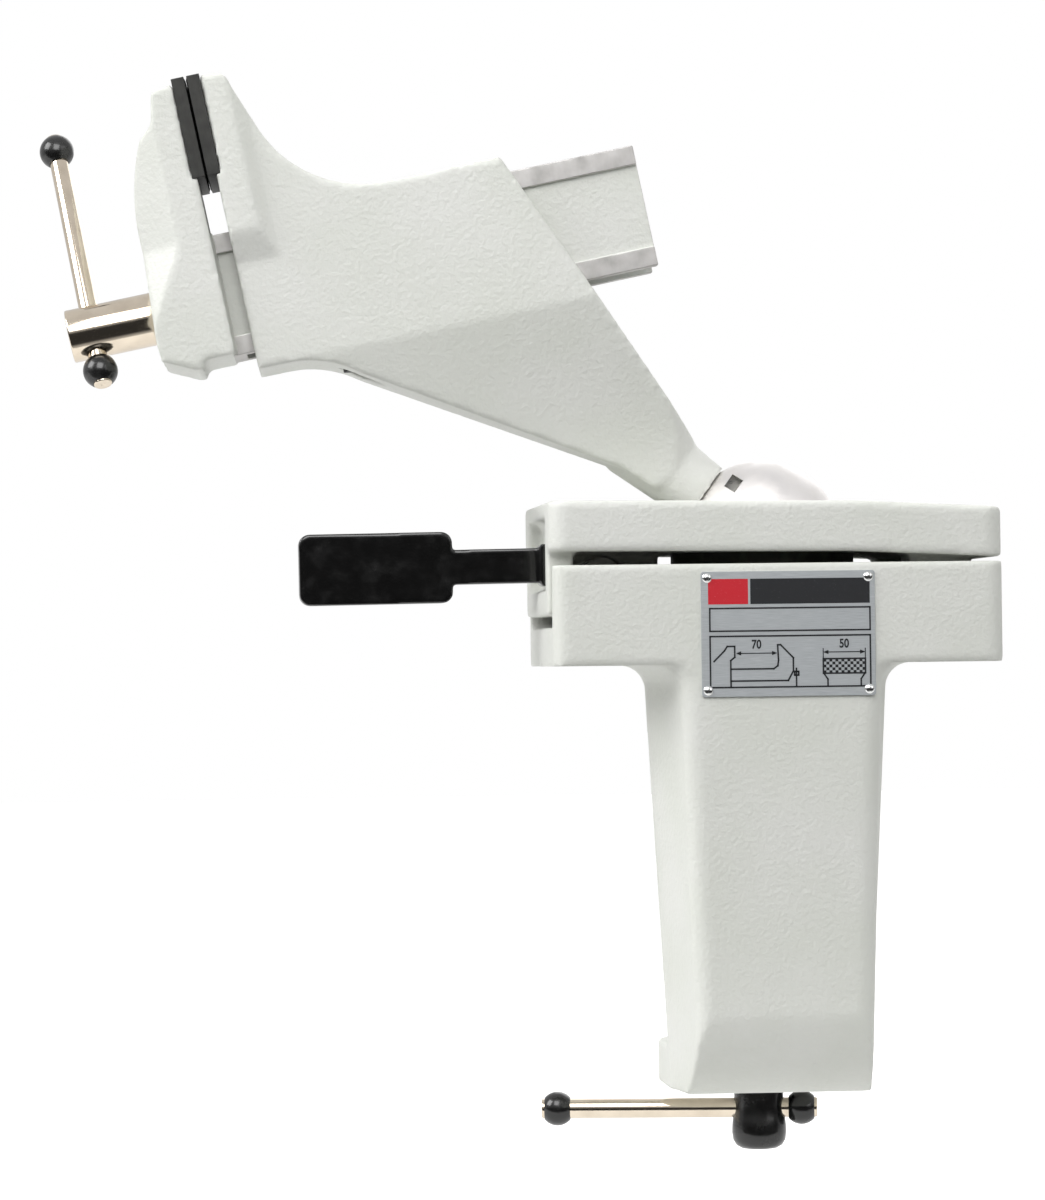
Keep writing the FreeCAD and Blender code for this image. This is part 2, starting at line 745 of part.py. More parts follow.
def make_ball_joint():
    cup = rod("cup_round", "cup_radius", "cup_top - floor_thick + cup_sink",
              (0, "ball_y", "floor_thick - cup_sink"))
    hollow = ball("cup_seat", BALL_HOLLOW, (0, "ball_y", "ball_z"))
    drain = rod("cup_drain_hole", "cup_drain", "cup_top", (0, "ball_y", 0))
    finished(cut("ball_seat_cup", cup, hollow, drain), "ball_seat_cup")
    tools = [rod("ball_bore", "stem_radius + running_clearance", "2 * ball_radius",
                 (0, 0, "-stem_tail - 2 * overcut"))]
    for name, low, high in (("front_notch", "-ball_radius", "-notch_floor"),
                            ("back_notch", "notch_floor", "ball_radius")):
        tools.append(block(name, ("notch_from", low, "notch_low"), ("notch_to", high, "notch_high")))
    finished(cut("ball", ball("ball_round", "ball_radius"), *tools), "ball", "neck")
    stem = rod("stem_round", "stem_radius", "stem_tail + stem_top", (0, 0, "-stem_tail"))
    finished(group("ball_stem", stem), "ball_stem", "neck")


# Head: the fixed jaw casting with its guide housing and neck


SCREW_SPOTS = (("front", "-pad_screw_y"), ("back", "pad_screw_y"))
GUIDE_FLOOR = "(bar_bottom - bar_clear)"
NUT_MIDDLE = "(nut_front - nut_length / 2)"


def on_neck(thing, along):
    """Lays a turned piece on the neck's axis, in the head frame."""
    for path, _ in thing.ExpressionEngine:
        if "Placement" in path:
            thing.setExpression(path, None)
    lean = "placement(vector(0; 0; 0); rotation(0; head_pitch - neck_tilt; 0))"
    return bind(thing, Placement=lean + " * placement(vector(0; 0; %s); rotation(0; 0; 0))" % along)


def pad_screw_hole(name, side, way):
    """The tapped hole behind a jaw plate, with way 1 for the fixed jaw and -1 for the moving one."""
    start = "-jaw_plane + (%d) * (jaw_plane - plate_seat - overcut)" % way
    return rod(name, "pad_screw_radius", "pad_screw_length", (start, side, "pad_screw_z"),
               "x" if way > 0 else "-x")


def make_fixed_jaw():
    body = new_body("fixed_jaw_casting")
    side = outline(body, "fixed_jaw_side", "XZ_Plane", [
        ("-housing_front", "keel_bottom"),
        ("-keel_bottom_end", "keel_bottom", "-keel_bow"),
        ("-keel_knee_x", "keel_knee_z"),
        ("-keel_low_x", "keel_low_z"),
        ("-keel_tip_x", "keel_tip_z"),
        ("-keel_heel_x", "keel_low_z"),
        ("-rear_knee_x", "rear_knee_z"),
        ("-housing_rear_top", "housing_top"),
        ("-sweep_end", "housing_top", "-sweep_radius"),
        ("-sweep_stop", "housing_top + sweep_radius - sqrt(sweep_radius ^ 2 - (sweep_stop - sweep_end) ^ 2)"),
        ("-jaw_back", "jaw_top - jaw_block_round", "jaw_block_round"),
        ("-jaw_back - jaw_block_round", "jaw_top"),
        ("-plate_seat", "jaw_top"),
        ("-plate_seat", "pad_low"),
        ("-housing_front", "pad_low"),
    ])
    pad(body, side, "2 * jaw_half", symmetric=True)
    for name, way in (("front", "-"), ("back", "")):
        flank = outline(body, name + "_flange", "XY_Plane", [
            ("-flange_crest", way + "jaw_half"),
            ("-flange_foot", way + "housing_half"),
            ("overcut", way + "housing_half"),
            ("overcut", way + "(jaw_half + overcut)"),
            ("-flange_crest", way + "(jaw_half + overcut)"),
        ])
        pocket(body, flank, "jaw_top + overcut", reverse=True)
        under = outline(body, name + "_keel", "YZ_Plane", [
            (way + "jaw_half", "flange_high"),
            (way + "housing_half", "flange_low"),
            (way + "housing_half", "housing_bottom"),
            (way + "keel_half", "keel_foot"),
            (way + "keel_half", "0"),
            (way + "(jaw_half + overcut)", "0"),
            (way + "(jaw_half + overcut)", "flange_high"),
        ])
        pocket(body, under, "2 * housing_front + 2 * overcut", symmetric=True)
    neck = on_neck(cone("neck", "neck_radius", "neck_flare", "neck_length"), "neck_end")
    reach = "(root_start + root_length)"
    around = cut("root_envelope", on_neck(rod("root_around", "housing_front", reach), "0"),
                 on_neck(rod("root_round", "root_radius", reach), "0"),
                 on_neck(cone("root_cone", "root_radius", "root_spread", "root_length"), "root_start"))
    trimmed = cut("fixed_jaw_trimmed", body, around)
    guide = "(bar_half + bar_clear)"
    tools = [
        ball("neck_hollow", BALL_HOLLOW),
        on_neck(rod("stem_socket", "stem_radius", "stem_top"), "0"),
        block("guide", ("-housing_front - overcut", "-" + guide, GUIDE_FLOOR),
              ("0", guide, "bar_top + bar_clear")),
        rod("bolt_way", "nut_bolt_radius", "bar_bottom - nut_bolt_seat",
            ("-" + NUT_MIDDLE, 0, "nut_bolt_seat")),
        rod("bolt_counterbore", "nut_bolt_head + ball_gap", "nut_bolt_seat - keel_low_z",
            ("-" + NUT_MIDDLE, 0, "keel_low_z")),
    ]
    for name, spot in SCREW_SPOTS:
        tools.append(pad_screw_hole("fixed_tapped_" + name, spot, 1))
    finished(cut("fixed_jaw", joined("fixed_jaw_solid", trimmed, neck), *tools), "fixed_jaw", "head")


# Jaw plates and their countersunk screws


def make_jaw_plate(label, way):
    """A jaw plate and its screws, with way 1 for the fixed jaw and -1 for the moving one."""
    face, seat = ["-jaw_plane + (%d) * (%s)" % (way, depth) for depth in ("jaw_gap / 2",
                                                                          "jaw_plane - plate_seat")]
    near_x, far_x = (face, seat) if way > 0 else (seat, face)
    blank = block(label + "_blank", (near_x, "-jaw_half", "pad_low"), (far_x, "jaw_half", "pad_top"))
    axis = "x" if way > 0 else "-x"
    sunk = "-jaw_plane + (%d) * (jaw_gap / 2 + pad_screw_sink)" % way
    holes, screws = [], []
    for name, spot in SCREW_SPOTS:
        at = (sunk, spot, "pad_screw_z")
        name = "%s_%s" % (label, name)
        head = cone(name + "_head", "pad_screw_head", "pad_screw_radius", "pad_screw_head - pad_screw_radius",
                    at, axis)
        shank = rod(name + "_shank", "pad_screw_radius", "pad_screw_length", at, axis)
        socket = rod(name + "_socket", "pad_screw_radius / 2", "pad_screw_head - pad_screw_radius", at, axis)
        sink = rod(name + "_sink", "pad_screw_head", "2 * pad_screw_sink", at, {"x": "-x", "-x": "x"}[axis])
        holes += [head, shank, sink]
        screws.append(cut(name, joined(name + "_whole", head, shank), socket))
    finished(cut(label, blank, *holes), label, "head")
    finished(group(label + "_screws", *screws), label + "_screws", "head")


# Moving jaw with its slide bar


MOVING_SEAT = "(2 * jaw_plane - plate_seat)"
CHANNEL_START = "(moving_face - bar_wall)"


def facet_border(body, name, offset, depth):
    """The outline of what is cut from a side of the moving jaw, at a depth below that side."""
    slant = "((%s) * tan(facet_slope))" % depth
    high, low = "(jaw_top + jaw_half)", "facet_end_z"
    return outline(body, name, "XZ_Plane", [
        ("-facet_start - " + slant, high),
        ("-2 * moving_back", high),
        ("-2 * moving_back", low),
        ("-moving_back - " + slant, low),
        ("-facet_start - " + slant, "facet_bend_top"),
    ], offset)


def make_moving_jaw():
    body = new_body("moving_jaw_casting")
    side = outline(body, "moving_jaw_side", "XZ_Plane", [
        ("-moving_face", "bar_bottom"),
        ("-moving_face", "pad_low"),
        ("-" + MOVING_SEAT, "pad_low"),
        ("-" + MOVING_SEAT, "moving_top"),
        ("-moving_nose_x", "moving_nose_z"),
        ("-moving_top_back", "moving_shoulder_z"),
        ("-moving_step_x", "moving_step_z", "moving_bow"),
        ("-moving_belly_x", "moving_belly_z"),
        ("-moving_back", "moving_foot_z"),
        ("-moving_heel_x", "moving_heel_z"),
        ("-moving_foot_x", "moving_bottom"),
        ("-relief_start", "moving_bottom"),
        ("-relief_start", "bar_bottom"),
    ])
    pad(body, side, "2 * jaw_half", symmetric=True)
    for name, way in (("front_facet", ""), ("back_facet", "-")):
        outer = facet_border(body, name + "_outer", way + "(jaw_half + overcut)", "-overcut")
        inner = facet_border(body, name + "_inner", way + "(jaw_half - facet_deep)", "facet_deep")
        facet = body.newObject("PartDesign::SubtractiveLoft", name)
        facet.Profile = outer
        facet.Sections = [inner]
        facet.Ruled = True
        body.Tip = facet
    bar = rectangle(body, "bar", "XZ_Plane", ("-moving_face - bar_wall", "bar_bottom"),
                    ("-bar_rear", "bar_top"))
    pad(body, bar, "2 * bar_half", symmetric=True)
    channel = rectangle(body, "channel", "XY_Plane", ("-" + CHANNEL_START, "-channel_half"),
                        ("overcut", "channel_half"),
                        "channel_top")
    pocket(body, channel, "channel_top - bar_bottom + overcut")
    for name, offset, reverse in (("front_web", "bar_half", False), ("back_web", "-bar_half", True)):
        web = rectangle(body, name, "XZ_Plane", ("-moving_face", "bar_bottom + rail_tall"),
                        ("overcut", "bar_top - rail_tall"),
                        offset)
        pocket(body, web, "web_sink", reverse=reverse)
    tools = [
        rod("jaw_bore", "screw_radius + running_clearance", "moving_back",
            ("-moving_back - overcut", 0, "screw_z"), "x"),
        rod("washer_bore_seat", "washer_radius + washer_play", "washer_seat + overcut",
            ("-moving_back - overcut", 0, "screw_z"), "x"),
    ]
    for name, spot in SCREW_SPOTS:
        tools.append(pad_screw_hole("moving_tapped_" + name, spot, -1))
    finished(cut("moving_jaw", body, *tools), "moving_jaw", "head")


# Lead screw with its washer, clip and nut, and the tommy bar. The screw frame is the head's, raised
# to the screw's axis, and the tommy frame is the screw frame turned about that axis.


HEAD_FOOT = "(moving_back - washer_seat + washer_thick)"
CLIP_START = "(%s - clip_float)" % CHANNEL_START


def make_lead_screw():
    screw = joined(
        "screw_round",
        rod("screw_head", "screw_head_radius", "screw_head_end - " + HEAD_FOOT, ("-screw_head_end", 0, 0),
            "x"),
        rod("screw_neck", "screw_radius", "screw_head_end - " + CLIP_START, ("-screw_head_end", 0, 0), "x"),
        rod("screw_groove", "screw_radius - clip_groove", "clip_thick", ("-" + CLIP_START, 0, 0), "x"),
        rod("screw_shank", "screw_radius", CLIP_START + " - clip_thick - screw_tip",
            ("clip_thick - " + CLIP_START, 0, 0),
            "x"),
    )
    hole = rod("tommy_hole", "tommy_radius + tommy_hole_gap", "4 * screw_head_radius",
               ("-tommy_x", 0, "-2 * screw_head_radius"))
    finished(cut("lead_screw", screw, hole), "lead_screw", "tommy")
    washer = rod("washer_round", "washer_radius", "washer_thick", ("-" + HEAD_FOOT, 0, 0), "x")
    bore = rod("washer_bore", "screw_radius + running_clearance", "washer_thick + 2 * overcut",
               ("-%s - overcut" % HEAD_FOOT, 0, 0), "x")
    finished(cut("thrust_washer", washer, bore), "thrust_washer", "screw")
    clip = rod("clip_round", "clip_radius", "clip_thick", ("-" + CLIP_START, 0, 0), "x")
    bore = rod("clip_bore", "screw_radius - clip_groove", "clip_thick + 2 * overcut",
               ("-%s - overcut" % CLIP_START, 0, 0), "x")
    finished(cut("retaining_clip", clip, bore), "retaining_clip", "tommy")


def make_lead_nut():
    blank = block("nut_blank", ("-nut_front", "-nut_half", GUIDE_FLOOR),
                  ("nut_length - nut_front", "nut_half", "nut_top"))
    bore = rod("nut_bore", "screw_radius + running_clearance", "nut_front",
               ("-nut_front - overcut", 0, "screw_z"), "x")
    shank = rod("bolt_shank", "nut_bolt_radius", "%s + nut_bolt_reach - nut_bolt_seat" % GUIDE_FLOOR,
                ("-" + NUT_MIDDLE, 0, "nut_bolt_seat"))
    head = rod("bolt_head", "nut_bolt_head", "nut_bolt_tall",
               ("-" + NUT_MIDDLE, 0, "nut_bolt_seat - nut_bolt_tall"))
    finished(cut("lead_nut", blank, bore, shank), "lead_nut", "head")
    socket = rod("bolt_socket", "nut_bolt_socket", "nut_bolt_tall / 2",
                 ("-" + NUT_MIDDLE, 0, "nut_bolt_seat - nut_bolt_tall"))
    finished(cut("nut_bolt", joined("bolt_whole", shank, head), socket), "nut_bolt", "head")


def knobs(label, frame, radius, spots, way, axis):
    """Ball ends, whose poles lie on an axis, with a way through them for their bar."""
    ends = [cut("%s_%d" % (label, number), ball("%s_round_%d" % (label, number), radius, spot, axis), way)
            for number, spot in enumerate(spots)]
    finished(group(label, *ends), label, frame)


def make_tommy_bar():
    low = "(screw_head_radius + tommy_knob + knob_float)"
    bar = rod("tommy_rod", "tommy_radius", "tommy_span + 2 * knob_reach",
              ("-tommy_x", 0, "-%s - knob_reach" % low))
    spots = [("-tommy_x", 0, "-" + low), ("-tommy_x", 0, "tommy_span - " + low)]
    way = rod("tommy_way", "tommy_radius", "tommy_span + 4 * tommy_knob",
              ("-tommy_x", 0, "-%s - 2 * tommy_knob" % low))
    knobs("tommy_knobs", "tommy", "tommy_knob", spots, way, "z")
    finished(group("tommy_bar", bar), "tommy_bar", "tommy")


# Clamp screw, its pad and its cross bar


PAD_LOW = "(clamp_reach + pad_face_thick + clamp_pad_thick)"
CAP_TOP = "(leg_length + cap_gap)"
CAP_BOTTOM = "(leg_length + cap_gap + cap_tall)"
CROSS_Z = "(leg_length + cross_drop)"
SKIRT_LOW = "(%s + skirt_tall)" % PAD_LOW
RING_LOW = "(%s - ring_rise)" % SKIRT_LOW


def make_clamp_pad():
    face = rod("face_round", "pad_face_radius", "pad_face_thick", (0, 0, "-clamp_reach - pad_face_thick"))
    finished(group("pad_face", face), "pad_face")
    plate = rod("pad_plate", "clamp_pad_radius", "clamp_pad_thick", (0, 0, "-" + PAD_LOW))
    skirt = rod("pad_skirt", "skirt_radius", "skirt_tall", (0, 0, "-" + SKIRT_LOW))
    bore = rod("pad_bore", "tip_radius + running_clearance", "tip_length",
               (0, 0, "-%s - pad_float" % SKIRT_LOW))
    ring = rod("ring_round", "ring_outside", "ring_thick", (0, 0, "-" + RING_LOW))
    finished(cut("clamp_pad", joined("pad_whole", plate, skirt), bore, ring), "clamp_pad")
    hole = rod("ring_hole", "tip_groove + 2 * running_clearance", "ring_thick + 2 * overcut",
               (0, 0, "-%s - overcut" % RING_LOW))
    finished(cut("pad_retaining_ring", ring, hole), "pad_retaining_ring")


def make_clamp_screw():
    foot = "(%s - cap_floor)" % CAP_BOTTOM
    cross = rod("cross_rod", "cross_radius", "cross_span + 2 * knob_reach",
                ("cap_waist + cross_knob + knob_float + knob_reach", 0, "-" + CROSS_Z), "-x")
    hole = rod("cross_hole", "cross_radius + tommy_hole_gap", "4 * cap_radius",
               ("-2 * cap_radius", 0, "-" + CROSS_Z), "x")
    shank = rod("clamp_shank", "clamp_screw_radius", "%s - %s - pad_float" % (foot, SKIRT_LOW),
                (0, 0, "-" + foot))
    tip = rod("clamp_tip", "tip_radius", "tip_length", (0, 0, "-%s - pad_float" % SKIRT_LOW))
    groove_tall = "(ring_thick + 2 * ring_float)"
    groove = cut("tip_groove_ring",
                 rod("groove_round", "clamp_screw_radius", groove_tall,
                     (0, 0, "-%s - ring_float" % RING_LOW)),
                 rod("groove_core", "tip_groove", groove_tall + " + 2 * overcut",
                     (0, 0, "-%s - ring_float - overcut" % RING_LOW)))
    finished(cut("clamp_screw", joined("clamp_round", shank, tip), hole, groove), "clamp_screw", "cross")
    body = new_body("cap_body")
    half = outline(body, "cap_side", "XZ_Plane", [
        ("0", "-" + CAP_TOP),
        ("0", "-" + CAP_BOTTOM),
        ("cap_radius - cap_round", "-" + CAP_BOTTOM, "cap_round"),
        ("cap_radius", "cap_round - " + CAP_BOTTOM),
        ("cap_radius", "-%s - cap_neck - cap_slope" % CAP_TOP),
        ("cap_waist", "-%s - cap_neck" % CAP_TOP),
        ("cap_waist", "-" + CAP_TOP),
    ])
    turn = body.newObject("PartDesign::Revolution", "cap_turn")
    turn.Profile = half
    turn.ReferenceAxis = (half, ["V_Axis"])
    turn.Angle = 360
    body.Tip = turn
    finished(cut("clamp_screw_cap", body, shank, hole), "clamp_screw_cap", "cross")
    right = "cap_waist + cross_knob + knob_float"
    spots = [(right, 0, "-" + CROSS_Z), (right + " - cross_span", 0, "-" + CROSS_Z)]
    way = rod("cross_way", "cross_radius", "cross_span + 4 * cross_knob",
              (right + " + 2 * cross_knob", 0, "-" + CROSS_Z), "-x")
    knobs("cross_bar_knobs", "cross", "cross_knob", spots, way, "x")
    finished(group("cross_bar", cross), "cross_bar", "cross")


# Build, check and write


def build():
    make_lower_frame()
    make_nameplate()
    make_frame_pins()
    make_lid()
    make_lever()
    make_ball_joint()
    make_fixed_jaw()
    make_jaw_plate("fixed_jaw_plate", 1)
    make_moving_jaw()
    make_jaw_plate("moving_jaw_plate", -1)
    make_lead_screw()
    make_lead_nut()
    make_tommy_bar()
    make_clamp_pad()
    make_clamp_screw()


def write():
    doc.recompute()
    for thing in doc.Objects:
        if {"Invalid", "Error"} & set(thing.State):
            raise RuntimeError("%s failed: %s" % (thing.Name, thing.State))
    for piece in PIECES:
        if piece.Shape.isNull() or not piece.Shape.isValid() or not piece.Shape.Solids:
            raise RuntimeError(piece.Label + " has no valid shape")
    os.makedirs("parts", exist_ok=True)
    for piece in PIECES:
        piece.Shape.exportStep("parts/%s.step" % piece.Label)


build()
write()
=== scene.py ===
import json
import math

import bmesh
import bpy
from mathutils import Matrix, Vector


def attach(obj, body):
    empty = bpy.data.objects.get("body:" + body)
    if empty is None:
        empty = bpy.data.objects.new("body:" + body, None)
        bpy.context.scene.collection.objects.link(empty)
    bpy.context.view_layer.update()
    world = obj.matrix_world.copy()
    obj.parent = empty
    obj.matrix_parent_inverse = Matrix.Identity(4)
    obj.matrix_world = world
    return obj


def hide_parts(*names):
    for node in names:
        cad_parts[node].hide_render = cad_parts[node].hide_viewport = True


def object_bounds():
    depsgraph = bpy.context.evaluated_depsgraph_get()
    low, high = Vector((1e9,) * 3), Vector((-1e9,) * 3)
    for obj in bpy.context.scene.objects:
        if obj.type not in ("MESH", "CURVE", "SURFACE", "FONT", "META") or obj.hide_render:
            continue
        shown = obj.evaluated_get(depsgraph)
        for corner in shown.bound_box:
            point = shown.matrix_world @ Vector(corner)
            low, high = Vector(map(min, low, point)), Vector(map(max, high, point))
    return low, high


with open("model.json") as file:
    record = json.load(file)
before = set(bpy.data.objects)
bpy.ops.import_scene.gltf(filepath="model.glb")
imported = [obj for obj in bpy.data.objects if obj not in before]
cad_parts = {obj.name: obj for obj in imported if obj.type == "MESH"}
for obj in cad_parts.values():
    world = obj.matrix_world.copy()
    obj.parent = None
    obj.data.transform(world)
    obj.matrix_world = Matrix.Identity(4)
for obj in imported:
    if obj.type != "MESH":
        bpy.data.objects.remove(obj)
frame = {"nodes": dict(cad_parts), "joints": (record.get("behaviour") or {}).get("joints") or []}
cad_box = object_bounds()

# Looks of a bench vise on a ball joint. The piece's sizes are in millimetres, or in metres where MM is in
# them. The lamps, the room and the floor are in metres.

MM = 0.001
NODES = frame["nodes"]
JOINTS = {joint["name"]: joint for joint in frame["joints"]}


# Frames of the turning parts, read from the joints


def placed(x_axis, y_axis, origin):
    """The matrix of a frame with these axes."""
    x_axis, y_axis = Vector(x_axis).normalized(), Vector(y_axis).normalized()
    turn = Matrix((x_axis, y_axis, x_axis.cross(y_axis))).transposed().to_4x4()
    return Matrix.Translation(Vector(origin)) @ turn


def along_z(origin, way, side):
    """A frame whose z axis runs along way, and whose x axis is side."""
    return placed(side, Vector(way).cross(Vector(side)), origin)


SLIDE = -Vector(JOINTS["jaw_slide"]["axis"])
TILT = Vector(JOINTS["ball_tilt"]["axis"])
BALL = Vector(JOINTS["ball_tilt"]["pos_m"])
HEAD = placed(SLIDE, TILT, BALL)
SCREW_MIDDLE = Vector(JOINTS["lead_screw_turn"]["pos_m"])
TOMMY = along_z(SCREW_MIDDLE, -Vector(JOINTS["tommy_slide"]["axis"]), SLIDE)
NECK = along_z(BALL, JOINTS["ball_roll"]["axis"], TILT)
UP = Vector((0, 0, 1))
# The part's own frame
PLAIN = Matrix.Identity(4)
CROSS_AXIS = Vector(JOINTS["cross_bar_slide"]["axis"])
CROSS = placed(CROSS_AXIS, UP.cross(CROSS_AXIS), (0, 0, 0))


def in_head(x, y, z):
    """A place in the head's own frame, in millimetres from the ball's centre."""
    return HEAD @ (Vector((x, y, z)) * MM)


# Materials

MIX_SHARE, MIX_FIRST, MIX_SECOND = 0, 6, 7
PLASTIC_IOR = 1.5


def linear(code):
    """An sRGB hex value as linear RGBA."""
    parts = [int(code[place:place + 2], 16) / 255 for place in (0, 2, 4)]
    return [part / 12.92 if part < 0.04045 else ((part + 0.055) / 1.055) ** 2.4 for part in parts] + [1]


def fill(tree, node, inputs):
    """Gives a node's inputs a value, a colour from its hex value, or a link from a socket or from a node's
    first output in use."""
    for place, given in inputs.items():
        if isinstance(given, bpy.types.Node):
            given = next(socket for socket in given.outputs if socket.enabled)
        if isinstance(given, bpy.types.NodeSocket):
            tree.links.new(given, node.inputs[place])
        else:
            node.inputs[place].default_value = linear(given) if isinstance(given, str) else given


def add(tree, kind, inputs=None, **settings):
    """Adds a node with its options, values and links."""
    made = tree.nodes.new(kind)
    for option, setting in settings.items():
        setattr(made, option, setting)
    fill(tree, made, inputs or {})
    return made


def finish_named(name):
    """A material with a Principled shader, and its tree."""
    material = bpy.data.materials.new(name)
    material.use_nodes = True
    tree = material.node_tree
    return material, tree, tree.nodes["Principled BSDF"]


def coordinates(tree, turn=PLAIN, stretch=(1, 1, 1)):
    """Object coordinates turned into a frame, with its axes stretched."""
    place = add(tree, "ShaderNodeTexCoord").outputs["Object"]
    angles = turn.inverted().to_euler()
    turned = add(tree, "ShaderNodeMapping", {"Vector": place, "Rotation": angles}, vector_type="POINT")
    return add(tree, "ShaderNodeVectorMath", {0: turned, 1: stretch}, operation="MULTIPLY")


def noise(tree, place, size, detail, **inputs):
    """Noise whose spots are about a size in metres."""
    return add(tree, "ShaderNodeTexNoise", {"Vector": place, "Scale": 1 / size, "Detail": detail, **inputs})


def ranged(tree, value, start, end, low=0.0, high=1.0):
    """A value between start and end, drawn out to one between low and high."""
    return add(tree, "ShaderNodeMapRange", {"Value": value, "From Min": start, "From Max": end,
                                            "To Min": low, "To Max": high})


def maths(tree, operation, first, second=0.0):
    """A sum, a product or the like of two values."""
    return add(tree, "ShaderNodeMath", {0: first, 1: second}, operation=operation)


def blended(tree, share, first, second):
    """A colour between two others."""
    return add(tree, "ShaderNodeMix", {MIX_SHARE: share, MIX_FIRST: first, MIX_SECOND: second},
               data_type="RGBA")


def bumped(tree, height, distance, strength, **inputs):
    """The surface's direction over a relief, whose height of 1 is a distance in metres."""
    return add(tree, "ShaderNodeBump",
               {"Height": height, "Distance": distance, "Strength": strength, **inputs})


def pointiness(tree):
    """High at ridges and low in corners, with 0.5 for a flat face."""
    return add(tree, "ShaderNodeNewGeometry").outputs["Pointiness"]


def powder_coat():
    """Powder coat on an iron sand casting: a fine orange peel over the casting's slower waves, a little paler
    where edges are rubbed, and a little darker in the corners as painted shade."""
    material, tree, shader = finish_named("powder coated iron casting")
    place = coordinates(tree)
    waves = noise(tree, place, 9 * MM, 3)
    peel = noise(tree, place, 1.3 * MM, 3)
    handled = noise(tree, place, 30 * MM, 4)
    edge = pointiness(tree)
    body = blended(tree, ranged(tree, handled, 0.35, 0.65), "D2D4CD", "D7D8D3")
    rubbed = blended(tree, ranged(tree, edge, 0.53, 0.6, high=0.5), body, "E4E4DF")
    # Painted shade: the colour darkens towards B2B3AC in corners and creases, where the pointiness is low.
    colour = blended(tree, ranged(tree, edge, 0.47, 0.41, high=0.45), rubbed, "B2B3AC")
    casting = bumped(tree, waves, 0.1 * MM, 0.6)
    skin = bumped(tree, peel, 0.26 * MM, 0.9, Normal=casting)
    fill(tree, shader, {"Base Color": colour, "Roughness": ranged(tree, peel, 0.3, 0.7, 0.44, 0.58),
                        "IOR": PLASTIC_IOR, "Normal": skin})
    return material


def worked_metal(name, colour, shade, rough, turn, stretch, line=0.12 * MM, scuff=0.1):
    """Metal with the fine lines of its tool or its polishing wheel along one way, faint blotches and dull
    scuffs. The lines are drawn wider than real ones, so that they show."""
    material, tree, shader = finish_named(name)
    lines = noise(tree, coordinates(tree, turn, stretch), line, 2, Roughness=0.6)
    patches = noise(tree, coordinates(tree), 6 * MM, 3)
    tone = blended(tree, ranged(tree, patches, 0.35, 0.7), colour, shade)
    dull = ranged(tree, patches, 0.3, 0.7, rough, rough * 1.6)
    scuffs = ranged(tree, lines, 0.3, 0.7, high=scuff)
    gloss = maths(tree, "ADD", dull, scuffs)
    tooling = bumped(tree, lines, 0.004 * MM, 0.5)
    fill(tree, shader, {"Base Color": tone, "Metallic": 1, "Roughness": gloss, "Normal": tooling})
    return material


def black_oxide():
    """Black-oxided steel, ground flat before it was blacked: semi-matt, with faint grinding lines."""
    material, tree, shader = finish_named("black oxide steel")
    lines = noise(tree, coordinates(tree, HEAD, (1, 1, 0.12)), 0.3 * MM, 3)
    patches = noise(tree, coordinates(tree), 4 * MM, 3)
    body = blended(tree, ranged(tree, patches, 0.3, 0.7), "2E2E2D", "3B3B39")
    bare = ranged(tree, pointiness(tree), 0.55, 0.7, high=0.5)
    colour = blended(tree, bare, body, "6E6E6A")
    grinding = bumped(tree, lines, 0.01 * MM, 0.5)
    gloss = ranged(tree, lines, 0.3, 0.7, 0.46, 0.62)
    fill(tree, shader, {"Base Color": colour, "Metallic": 0.7, "Roughness": gloss, "Normal": grinding})
    return material


def plastic(name, colour, rubbed, rough, speck, depth, coat=0.0):
    """Moulded or dipped plastic: an even colour, a skin that is a little uneven, and a few dull rubs."""
    material, tree, shader = finish_named(name)
    place = coordinates(tree)
    skin = noise(tree, place, speck, 2)
    rubs = noise(tree, place, 5 * MM, 4, Roughness=0.6)
    tone = blended(tree, ranged(tree, rubs, 0.52, 0.75), colour, rubbed)
    gloss = ranged(tree, rubs, 0.4, 0.75, rough, rough + 0.12)
    moulding = bumped(tree, skin, depth, 0.5)
    fill(tree, shader, {"Base Color": tone, "Roughness": gloss, "Coat Weight": coat, "Coat Roughness": 0.06,
                        "IOR": PLASTIC_IOR, "Normal": moulding})
    return material


def brushed_sheet():
    """Aluminium sheet brushed along its length and lacquered: pale, with fine level streaks."""
    material, tree, shader = finish_named("brushed aluminium sheet")
    lines = noise(tree, coordinates(tree, PLAIN, (0.03, 1, 1)), 0.14 * MM, 3, Roughness=0.7)
    patches = noise(tree, coordinates(tree), 8 * MM, 2)
    tone = blended(tree, ranged(tree, lines, 0.3, 0.7), "A6AAAD", "BEC2C4")
    brushing = bumped(tree, lines, 0.006 * MM, 0.6)
    gloss = ranged(tree, patches, 0.3, 0.7, 0.56, 0.66)
    fill(tree, shader, {"Base Color": tone, "Metallic": 0.5, "Roughness": gloss, "Normal": brushing})
    return material


def plate_ink(name, colour, rubbed):
    """Ink that is screen printed on the sheet: flat, and rubbed through in specks."""
    material, tree, shader = finish_named(name)
    specks = noise(tree, coordinates(tree), 0.5 * MM, 4, Roughness=0.7)
    tone = blended(tree, ranged(tree, specks, 0.62, 0.78), colour, rubbed)
    fill(tree, shader, {"Base Color": tone, "Roughness": ranged(tree, specks, 0.3, 0.7, 0.35, 0.5)})
    return material


